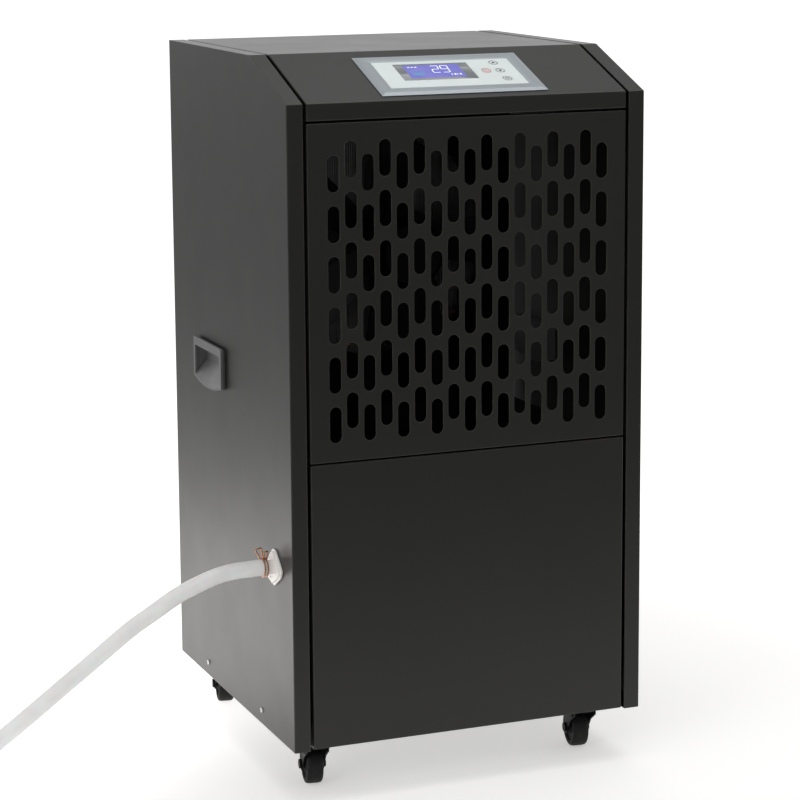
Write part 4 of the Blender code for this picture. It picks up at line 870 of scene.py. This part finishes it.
def make_clamp():
    """A double-wire spring clamp: two rings of wire whose ends stand up as finger loops."""
    reach = HOSE_RADIUS + CLAMP_WIRE
    axis = Vector((CLAMP_X, SPOUT_Y, SPOUT_Z))
    rings = []
    for offset in (-CLAMP_SPACING, CLAMP_SPACING):
        centre = axis + Vector((offset, 0, 0))
        loop = []
        for i in range(48):
            angle = 2 * math.pi * i / 48
            loop.append(centre + Vector((0, math.cos(angle) * reach, math.sin(angle) * reach)))
        rings.append(tube("clamp_ring", loop, CLAMP_WIRE, 3, cyclic=True))
    for (x, turn), (foot, top, height), lean in CLAMP_LOOPS:
        angle = math.radians(turn)
        base = axis + Vector((x, math.sin(angle) * reach, math.cos(angle) * reach - 0.0006))
        up = Vector(lean).normalized()
        side = up.cross(Vector((0, 0.9, -0.2))).normalized()
        rising = [(foot, 0.0), ((foot + top) / 2, height * 0.55), (top, height)]
        outline = [(-u, v) for u, v in rising] + rising[::-1]
        loop = [base + side * u + up * v for u, v in outline]
        rings.append(tube("clamp_loop", smooth_route(loop, 5), CLAMP_WIRE, 3))
    return finished(smooth(merged("spring_clamp", rings)), "copper", stands_for=("hose_clamp",))


def make_ties():
    """Two soft ties round the coil's turns."""
    ties = []
    for index, turn in enumerate(TIE_TURNS, 1):
        outer = Vector(coil_point(turn))
        inner = Vector(coil_point(turn + 1))
        across = (inner - outer).normalized()
        middle = (inner + outer) / 2
        along = across.cross(Vector((0, 0, 1)))
        axes = Matrix((across, Vector((0, 0, 1)), -along)).transposed().to_4x4()
        half = (inner - outer).length / 2
        outlines = []
        for extra in (TIE_THICKNESS, 0.0):
            radius = HOSE_RADIUS + TIE_CLEARANCE + extra
            right = [(half + radius * math.cos(a), radius * math.sin(a)) for a in half_turn(-90)]
            left = [(-half + radius * math.cos(a), radius * math.sin(a)) for a in half_turn(90)]
            outlines.append(right + left)
        matrix = Matrix.Translation(middle) @ axes
        tie = plate(f"hose_tie_{index}", outlines, -TIE_HALF, TIE_HALF, matrix=matrix)
        ties.append(finished(smooth(tie), "black_plastic"))
    return ties


def half_turn(start, steps=12):
    return [math.radians(start + 180 * i / steps) for i in range(steps + 1)]


# ---------------------------------------------------------------- cabinet


def folded_panel(name, low, high):
    """A sheet facing the front with its edges folded back."""
    panel = round_edges(box(name, low, high), FOLD_RADIUS, 4)
    hollow = box(
        name + "_hollow",
        (low.x + SHEET, low.y + SHEET, low.z + SHEET),
        (high.x - SHEET, high.y + CUT_PAST, high.z - SHEET),
    )
    return cut(panel, hollow)


def slot_centres():
    for column in range(SLOT_COLUMNS):
        x = (column - (SLOT_COLUMNS - 1) / 2) * SLOT_PITCH[0]
        raised = SLOT_STAGGER if column % 2 else 0.0
        for row in range(SLOT_ROWS):
            yield x, SLOT_TOP_Z + raised - row * SLOT_PITCH[1]


def make_grille():
    """The outlet grille, with the edges of its pressed slots rounded over."""
    grille = folded_panel("outlet_grille", GRILLE_LOW, GRILLE_HIGH)
    slots = [slot_outline(x, z, *SLOT_SIZE) for x, z in slot_centres()]
    grille = cut(grille, plate("slots", slots, -FRONT - 0.003, -FRONT + 0.002, ACROSS_Y))
    grille = round_edges(grille, 0.0006, 3, 50)
    even_normals(smooth(grille, 50))
    finished(grille, "powder_coat", stands_for=("front_grille",))


def pan_head(name, matrix, radius=0.0034, height=0.0022):
    """A domed screw head with a cross recess, standing on its local XY plane."""
    profile = [(0, height)]
    for i in range(1, 7):
        angle = math.radians(90 - 15 * i)
        profile.append((radius * math.cos(angle), height * 0.45 + height * 0.55 * math.sin(angle)))
    profile += [(radius, 0.0001), (0, 0.0001)]
    head = turned(name, profile, matrix, 24)
    half, arm = 0.00042, radius * 0.58
    for turn in (0, math.pi / 2):
        turned_matrix = matrix @ Matrix.Rotation(turn, 4, "Z")
        slot = box("recess", (-arm, -half, height * 0.45), (arm, half, height * 2), turned_matrix)
        head = cut(head, slot)
    return smooth(head, 35)


def add_screw(name, matrix):
    finished(pan_head(name, matrix), "zinc_steel")


def make_panel_screws():
    """Two screws low in each side panel, and eight round the rear panel."""
    z = BOTTOM + 0.0165
    for side, name in ((-1, "left"), (1, "right")):
        axes = TOWARDS_LEFT if side < 0 else TOWARDS_RIGHT
        for index, y in enumerate((-0.109, 0.109), 1):
            add_screw(f"screw_{name}_{index}", Matrix.Translation((side * -LEFT, y, z)) @ axes)
    half = REAR_HIGH.x - 0.011
    for column, x in enumerate((-half, half), 1):
        for row in range(4):
            z = REAR_LOW.z + 0.020 + row * (REAR_HIGH.z - REAR_LOW.z - 0.040) / 3
            matrix = Matrix.Translation((x, REAR_HIGH.y, z)) @ TOWARDS_REAR
            add_screw(f"screw_rear_{column}_{row + 1}", matrix)


# ---------------------------------------------------------------- handles


def bowed_outline(half, low, high, sag, steps=24):
    """An outline in YZ, straight on top and bowed below."""
    bow = []
    for i in range(steps + 1):
        along = -1 + 2 * i / steps
        bow.append((HANDLE_Y + half * along, low - sag * (1 - along * along)))
    return bow + [(HANDLE_Y + half, high), (HANDLE_Y - half, high)]


def handle_outline(margin):
    """The handle's edge seen from the side, moved inwards by the margin."""
    return bowed_outline(HANDLE_HALF - margin, HANDLE_BOTTOM + margin, HANDLE_TOP - margin, HANDLE_SAG)


def side_span(side, inner, outer):
    """The x range between two distances in from a side's outer face."""
    ends = (side * (-LEFT - inner), side * (-LEFT - outer))
    return min(ends), max(ends)


def loft(name, sections):
    """A closed solid through outlines in YZ, each at its own x. They have the same number of points."""
    shape = bmesh.new()
    rows = [[shape.verts.new((x, y, z)) for y, z in outline] for x, outline in sections]
    for first, second in zip(rows, rows[1:]):
        for i in range(len(first)):
            shape.faces.new((first[i], first[i - 1], second[i - 1], second[i]))
    shape.faces.new(rows[0])
    shape.faces.new(rows[-1][::-1])
    bmesh.ops.recalc_face_normals(shape, faces=shape.faces)
    return place_shape(name, shape)


def make_handle(name, side, cad_node):
    """A moulded cup: a rim that stands off the side panel on a neck, and a pocket with a scooped floor."""
    under_rim = HANDLE_PROUD - RIM_THICKNESS
    rim = plate(name, [handle_outline(0)], *side_span(side, -under_rim, -HANDLE_PROUD), ACROSS_X)
    rim = round_edges(rim, 0.0011, 4, 20)
    behind = POCKET_DEPTH - HANDLE_PROUD + POCKET_BACK
    span = side_span(side, behind, -under_rim - RIM_OVERLAP)
    body = plate("body", [handle_outline(HANDLE_WALL / 2)], *span, ACROSS_X)
    handle = cut(join(rim, body), *pocket_cutters(side))
    handle = round_edges(handle, 0.0005, 2, 50)
    even_normals(smooth(handle, 50))
    finished(handle, "grey_plastic", stands_for=(cad_node,))


def pocket_cutters(side):
    """The scoop, the room behind the rim's band, and the two recesses behind the rim's ends."""
    face = -LEFT + HANDLE_PROUD
    back = face - POCKET_DEPTH
    half = HANDLE_HALF - HANDLE_WALL
    low, high = HANDLE_BOTTOM + RIM_FOOT, HANDLE_TOP - RIM_BAND
    mouth = bowed_outline(half, low, high, HANDLE_SAG)
    floor = low + SCOOP_RISE + SCOOP_SAG
    inner = bowed_outline(half, floor, high, SCOOP_SAG)
    sections = [(side * (face + CUT_PAST), mouth), (side * face, mouth), (side * back, inner)]
    cutters = [loft("scoop", sections)]
    x_low, x_high = sorted((side * back, side * (face - RIM_THICKNESS)))
    reach = half + END_RECESS
    room_high = (x_high, HANDLE_Y + reach, high + FINGER_RISE)
    cutters.append(box("finger_room", (x_low, HANDLE_Y - reach, floor), room_high))
    for end in (-1, 1):
        y_low, y_high = sorted((HANDLE_Y + end * (half - GAP), HANDLE_Y + end * reach))
        recess_low = (x_low, y_low, low + END_RECESS_LIFT)
        cutters.append(box("end_recess", recess_low, (x_high, y_high, high)))
    return cutters


# ---------------------------------------------------------------- drain fitting


def inset(points, distance):
    """The outline, anticlockwise, with each side moved inwards."""
    lines = []
    for start, end in zip(points, points[1:] + points[:1]):
        along = (Vector(end) - Vector(start)).normalized()
        lines.append((Vector(start) + Vector((-along.y, along.x)) * distance, along))
    result = []
    for (p, d), (q, e) in zip(lines[-1:] + lines[:-1], lines):
        result.append(tuple(p + d * ((q - p).cross(e) / d.cross(e))))
    return result


def make_spout():
    """A moulded outlet: a three-lobed flange with a raised face, a hollow stub and three sunk fixings."""
    matrix = Matrix.Translation((LEFT, SPOUT_Y, SPOUT_Z)) @ TOWARDS_LEFT
    profile = (
        (0, SPOUT_REACH),
        (SPOUT_RADIUS - SPOUT_EDGE, SPOUT_REACH),
        (SPOUT_RADIUS, SPOUT_REACH - SPOUT_EDGE),
        (SPOUT_RADIUS, -SPOUT_ROOT),
        (0, -SPOUT_ROOT),
    )
    stub = turned("drain_outlet", profile, matrix)
    axes = (ACROSS_X, Matrix.Translation((0, SPOUT_Y, SPOUT_Z)))
    outline = list(FLANGE_OUTLINE)
    base = plate("base", [rounded(outline, FLANGE_CORNER)], LEFT - FLANGE_BASE, LEFT - GAP, *axes)
    base = round_edges(base, 0.0007, 3, 30)
    face_outline = rounded(inset(outline, FLANGE_STEP), FLANGE_CORNER / 2)
    face = plate("face", [face_outline], LEFT - FLANGE_HEIGHT, LEFT - FLANGE_BASE / 2, *axes)
    face = round_edges(face, 0.0010, 3, 30)
    past = 2 * CUT_PAST
    bore = turned("bore", ((0, past), (SPOUT_BORE, past), (SPOUT_BORE, -past), (0, -past)), matrix)
    floor = LEFT - FLANGE_HEIGHT + FIXING_DEPTH
    sinks = []
    for y, z in FIXING_PLACES:
        sinks.append(plate("sink", [circle(y, z, FIXING_RADIUS, 20)], LEFT - CUT_PAST, floor, *axes))
    outlet = cut(join(stub, base, face), bore, *sinks)
    even_normals(smooth(outlet, 45))
    finished(outlet, "white_plastic", stands_for=("drain_spout",))


def make_gland():
    """A cable gland in the rear panel, with a six-sided nut and a domed cap."""
    centre_x, centre_z = (GLAND_LOW.x + GLAND_HIGH.x) / 2, (GLAND_LOW.z + GLAND_HIGH.z) / 2
    matrix = Matrix.Translation((centre_x, REAR_HIGH.y, centre_z)) @ TOWARDS_REAR
    profile = [
        (0.0052, 0.0106),
        (0.0078, 0.0106),
        (0.0092, 0.0098),
        (0.0098, 0.0080),
        (0.0100, 0.0046),
        (0.0110, 0.0044),
        (0.0110, -0.0100),
        (0.0052, -0.0100),
    ]
    body = turned("cable_gland", profile, matrix, closed=True)
    nut_outline = circle(0, 0, 0.0143, 6)
    nut = plate("nut", [nut_outline, circle(0, 0, 0.0104)], GAP, 0.0042, matrix=matrix)
    gland = join(body, nut)
    gland = round_edges(gland, 0.0004, 2, 40)
    finished(smooth(gland, 40), "black_plastic", stands_for=("cord_gland",))


# ---------------------------------------------------------------- controls


def ring_frame(name, loops, matrix):
    """A closed frame through nested rectangles, each with its half width, half height and level."""
    shape = bmesh.new()
    rows = []
    for half_x, half_y, level in loops:
        corners = ((-1, -1), (1, -1), (1, 1), (-1, 1))
        rows.append([shape.verts.new((u * half_x, v * half_y, level)) for u, v in corners])
    for first, second in zip(rows, rows[1:] + rows[:1]):
        for i in range(4):
            shape.faces.new((first[i], first[(i + 1) % 4], second[(i + 1) % 4], second[i]))
    bmesh.ops.recalc_face_normals(shape, faces=shape.faces)
    return place_shape(name, shape, matrix)


def make_bezel():
    """A picture frame: its outer border slopes up to a crest, and its inner border falls to the film."""
    matrix = SLOPE @ Matrix.Translation((0, PANEL_S, 0))
    (half_x, half_y), (inner_x, inner_y) = BEZEL_HALF, PLATE_HALF
    clear = 0.0004
    loops = (
        (inner_x + clear, inner_y + clear, GAP),
        (half_x - 0.0002, half_y - 0.0002, GAP),
        (half_x, half_y, 0.0009),
        (half_x - 0.0060, half_y - 0.0060, 0.0026),
        (inner_x + 0.0050, inner_y + 0.0050, 0.0026),
        (inner_x + clear, inner_y + clear, 0.0018),
    )
    bezel = round_edges(ring_frame("panel_bezel", loops, matrix), 0.0003, 2, 12)
    even_normals(smooth(bezel, 60))
    finished(bezel, "silver_bezel", stands_for=("display_bezel",))


def centred(at, half, margin=0.0):
    """A rectangle on the slope about a point, grown by the margin."""
    (x, s), (half_x, half_s) = at, half
    return rectangle(x - half_x - margin, s - half_s - margin, x + half_x + margin, s + half_s + margin)


def make_keypad():
    outline = rounded(centred((0, PANEL_S), PLATE_HALF), 0.0010, 4)
    keys = [circle(x, s, KEY_RADIUS + GAP) for x, s in KEY_PLACES.values()]
    window = centred(WINDOW_AT, WINDOW_HALF, GAP)
    film = on_slope("keypad_face", [outline, window, *keys], GAP, PLATE_TOP)
    finished(film, "keypad_film", stands_for=("keypad_plate",))


def on_slope(name, outlines, low, high):
    """A flat layer of the control panel, between two heights over the slope."""
    return plate(name, outlines, low, high, matrix=SLOPE)


def segment(centre, size, lean, which):
    """One bar of a seven-segment digit, drawn as a six-sided bar."""
    width, height = size
    bar = 0.062 * width
    u, v = SEGMENTS[which]
    x, y = u * width / 2, v * height / 2
    reach = (height / 4 if u else width / 2) - bar * 1.3
    half = [(-reach - bar, 0), (-reach, -bar), (reach, -bar)]
    shape = half + [(-p, -q) for p, q in half]
    if u:
        shape = [(-q, p) for p, q in shape]
    return [(centre[0] + x + px + lean * (y + py), centre[1] + y + py) for px, py in shape]


def make_display():
    """The display: a grey lens, a lit field, two digits, and plain level bars."""
    lens = on_slope("display_lens", [centred(WINDOW_AT, WINDOW_HALF)], GAP, PLATE_TOP - 0.0001)
    finished(smooth(round_edges(lens, 0.0002, 2)), "display_glass", stands_for=("display_window",))
    low = PLATE_TOP - 4 * LAYER_LIFT
    field = on_slope("display_field", [centred(LIT_AT, LIT_HALF)], low, low + LAYER)
    finished(field, "lit_blue")
    x, s = LIT_AT
    digits = []
    for offset, bars in DIGITS:
        centre = (x + offset, s + DIGIT_S)
        digits += [segment(centre, DIGIT_SIZE, DIGIT_LEAN, bar) for bar in bars]
    for i, wide in enumerate(UNIT_WIDTHS):
        start = x + UNIT_X + UNIT_PITCH * i
        digits.append(rectangle(start, s + UNIT_S[0], start + wide, s + UNIT_S[1]))
    for i in range(3):
        start, end = (x + edge + DASH_PITCH * i for edge in DASH_X)
        digits.append(rectangle(start, s + DASH_S[0], end, s + DASH_S[1]))
    low += LAYER + PRINT_LIFT
    figures = on_slope("display_digits", digits, low, low + LAYER)
    finished(figures, "lit_white")
    tank_at, level_at = ((x + u, s + v) for u, v in (TANK_AT, LEVEL_AT))
    tank = [centred(tank_at, TANK_HALF), centred(tank_at, TANK_INNER)]
    marks = on_slope("display_level", [*tank, centred(level_at, LEVEL_HALF)], low, low + LAYER)
    finished(marks, "lit_teal")


def arrow(direction):
    tip = 0.0044 * direction
    return [[(-0.0031, -tip * 0.40), (0.0031, -tip * 0.40), (0.0, tip * 0.75)][:: int(direction)]]


def arc_band(radius, width, start, end, steps=24):
    """A band along an arc, in degrees."""
    angles = [math.radians(start + (end - start) * i / steps) for i in range(steps + 1)]
    outer = [((radius + width) * math.cos(a), (radius + width) * math.sin(a)) for a in angles]
    inner = [(radius * math.cos(a), radius * math.sin(a)) for a in reversed(angles)]
    return outer + inner


def key_marks(name):
    """The generic sign printed on a key."""
    half = STROKE / 2
    if name == "key_up":
        return arrow(1)
    if name == "key_down":
        return arrow(-1)
    if name == "key_power":
        return [arc_band(0.0022, STROKE, -235, 55), rectangle(-half, 0.0002, half, 0.0034)]
    dial = [circle(0, 0, 0.0031, 32), circle(0, 0, 0.0031 - STROKE, 32)[::-1]]
    return [*dial, rectangle(-half, -half, half, 0.0019), rectangle(half + 0.00005, -half, 0.0016, half)]


def make_key(name, x, s):
    """A round key with a softened rim, its printed ring, and its sign. All of it presses with the key."""
    matrix = SLOPE @ Matrix.Translation((x, s, PLATE_TOP))
    profile = (
        (0, KEY_CROWN),
        (0.0045, 0.00028),
        (0.0058, 0.00020),
        (KEY_RADIUS, -0.0002),
        (KEY_RADIUS, -KEY_DEPTH),
        (0, -KEY_DEPTH),
    )
    face = smooth(turned(name + "_face", profile, matrix), 30)
    finished(face, "keypad_film", name, stands_for=(name,))
    inks = ("red_ink", "red_ink") if name == "key_power" else ("grey_ink", "dark_ink")
    inner, outer = KEY_RING
    ring = [circle(0, 0, outer), circle(0, 0, inner)[::-1]]
    for part, outlines, ink in zip(("_ring", "_sign"), (ring, key_marks(name)), inks):
        printed = plate(name + part, outlines, KEY_CROWN, KEY_CROWN + PRINT_THICKNESS, matrix=matrix)
        finished(printed, ink, name)


# ---------------------------------------------------------------- casters


def caster_matrix(corner):
    """The wheel's centre with local Z along its axle."""
    low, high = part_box("caster_plate_" + corner)
    centre = (low + high) / 2
    turn = Matrix.Rotation(math.radians(CASTER_YAW[corner]), 4, "Z")
    swivel = Matrix.Translation((centre.x, centre.y, 0)) @ turn
    return swivel @ Matrix.Translation((0, CASTER_TRAIL, WHEEL_RADIUS)) @ TOWARDS_RIGHT


def wheel_side(sign):
    """Half of the wheel's outline, from its bore to the edge of its tread."""
    half = WHEEL_HALF
    radius = WHEEL_RADIUS
    points = [
        (AXLE_BORE, half),
        (0.0075, half),
        (0.0082, half - 0.0006),
        (0.0088, half - 0.0028),
        (0.0100, half - 0.0034),
        (0.0165, half - 0.0034),
        (0.0178, half - 0.0026),
        (0.0186, half - 0.0006),
        (0.0198, half - 0.0001),
        (radius - 0.0034, half),
        (radius - 0.0016, half - 0.0007),
        (radius - 0.0005, half - 0.0022),
        (radius, half - 0.0050),
    ]
    return [(r, sign * h) for r, h in points]


def make_wheel(corner):
    profile = wheel_side(1) + wheel_side(-1)[::-1]
    wheel = smooth(turned("wheel_" + corner, profile, caster_matrix(corner), 64, closed=True), 40)
    finished(wheel, "tyre_rubber", "wheel_" + corner, stands_for=("caster_wheel_" + corner,))


# ---------------------------------------------------------------- filter and coils


def bars_mesh(name, bars):
    """Many thin boxes as one mesh, each given by two corners."""
    shape = bmesh.new()
    for low, high in bars:
        add_cuboid(shape, low, high)
    return place_shape(name, shape)


def make_filter_net():
    """Plastic netting: upright strands with level strands bonded behind them."""
    pitch, half, overlap, edge = 0.0030, 0.0003, 0.00005, 0.0030
    low, high = NET_LOW, NET_HIGH
    y_middle = (low.y + high.y) / 2
    bars = []
    for i in range(int((high.x - low.x) / pitch)):
        x = low.x + (i + 0.5) * pitch
        bars.append(((x - half, y_middle - overlap, low.z), (x + half, high.y, high.z)))
    for i in range(int((high.z - low.z) / pitch)):
        z = low.z + (i + 0.5) * pitch
        bars.append(((low.x, low.y, z - half), (high.x, y_middle + overlap, z + half)))
    for z_low, z_high in ((low.z, low.z + edge), (high.z - edge, high.z)):
        bars.append(((low.x, low.y, z_low), (high.x, high.y, z_high)))
    for x_low, x_high in ((low.x, low.x + edge), (high.x - edge, high.x)):
        bars.append(((x_low, low.y, low.z), (x_high, high.y, high.z)))
    finished(bars_mesh("filter_net", bars), "filter_fabric", "air_filter", stands_for=("filter_mesh",))


def make_coil(name, cad_node):
    """A fin block: thin upright fins on rows of tubes, with the tubes' return bends at both ends."""
    low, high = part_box(cad_node)
    pitch, fin, end_plate = 0.0032, 0.00025, 0.0008
    bend_room, radius, rows = 0.014, 0.0040, 12
    row_y, row_z = 0.011, 0.015  # how far in the tubes begin
    count = int((high.x - low.x - 2 * bend_room) / pitch)
    end = count * pitch / 2
    bars = []
    for i in range(count + 1):
        x = i * pitch - end
        thick = end_plate if i in (0, count) else fin
        bars.append(((x - thick, low.y, low.z), (x + thick, high.y, high.z)))
    finished(bars_mesh(name + "_fins", bars), "fin_aluminium", stands_for=(cad_node,))
    tubes = []
    step = (high.z - low.z - 2 * row_z) / (rows - 1)
    bulge = (bend_room - radius) * 0.9
    for y in (low.y + row_y, high.y - row_y):
        for row in range(rows):
            z = low.z + row_z + row * step
            tubes.append(tube("pass", [(-end - 0.001, y, z), (end + 0.001, y, z)], radius, 2))
        for row in range(rows - 1):
            side = 1 if row % 2 else -1
            z = low.z + row_z + (row + 0.5) * step
            bend = []
            for angle in half_turn(-90, 8):
                bend.append((side * (end + bulge * math.cos(angle)), y, z + step / 2 * math.sin(angle)))
            tubes.append(tube("bend", bend, radius, 2))
    finished(smooth(merged(name + "_tubes", tubes)), "copper")


# ---------------------------------------------------------------- CAD nodes that stay


CASTER_STEEL = ("caster_plate_", "caster_fork_", "caster_axle_")
KEPT_NODES = {
    "powder_coat": ("side_panel_left", "side_panel_right", "top_cover", "front_lower_panel", "rear_panel"),
    "galvanised_steel": ("base_pan", "control_box"),
    # Painted shade: the fan chamber's shroud, bracket and deck are black so the grille's slots read dark.
    "painted_black": (
        "compressor",
        "accumulator",
        "fan_motor",
        "fan_shroud",
        "motor_bracket",
        "deck_plate",
        *(kind + corner for kind in CASTER_STEEL for corner in CASTER_YAW),
    ),
    "black_plastic": ("intake_guard", "filter_frame", "fan_wheel", "drip_tray"),
    "copper": ("suction_line", "discharge_line", "capillary_line"),
    "hose_vinyl": ("drain_tube",),
    "tyre_rubber": ("compressor_foot_1", "compressor_foot_2", "compressor_foot_3"),
    "circuit_board": ("display_board",),
}
EASED_NODES = ("filter_frame", "intake_guard", "base_pan", "control_box", "drip_tray")


def dress_cad_nodes():
    for look, names in KEPT_NODES.items():
        for name in names:
            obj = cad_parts[name]
            obj.data.materials.clear()
            obj.data.materials.append(MATERIALS[look])
            weld = obj.modifiers.new("Weld", "WELD")
            weld.merge_threshold = 0.00001
            if name in EASED_NODES or name.startswith("caster_fork"):
                ease = obj.modifiers.new("Ease", "BEVEL")
                ease.width = 0.0005
                ease.segments = 2
                ease.limit_method = "ANGLE"
                ease.angle_limit = math.radians(50)
            even_normals(obj)


# ---------------------------------------------------------------- assembly


make_camera()
make_world()
make_lights()
make_floor()

MATERIALS = make_materials()
MATERIALS.update(extra_looks())

make_hose()
make_grille()
make_panel_screws()
make_handle("cup_handle_left", -1, "handle_left")
make_handle("cup_handle_right", 1, "handle_right")
make_spout()
make_gland()
make_bezel()
make_keypad()
make_display()
for key, (key_x, key_s) in KEY_PLACES.items():
    make_key(key, key_x, key_s)
for caster_corner in CASTER_YAW:
    make_wheel(caster_corner)
make_filter_net()
make_coil("evaporator", "evaporator_coil")
make_coil("condenser", "condenser_coil")
dress_cad_nodes()

bpy.context.scene.view_settings.view_transform = "Standard"
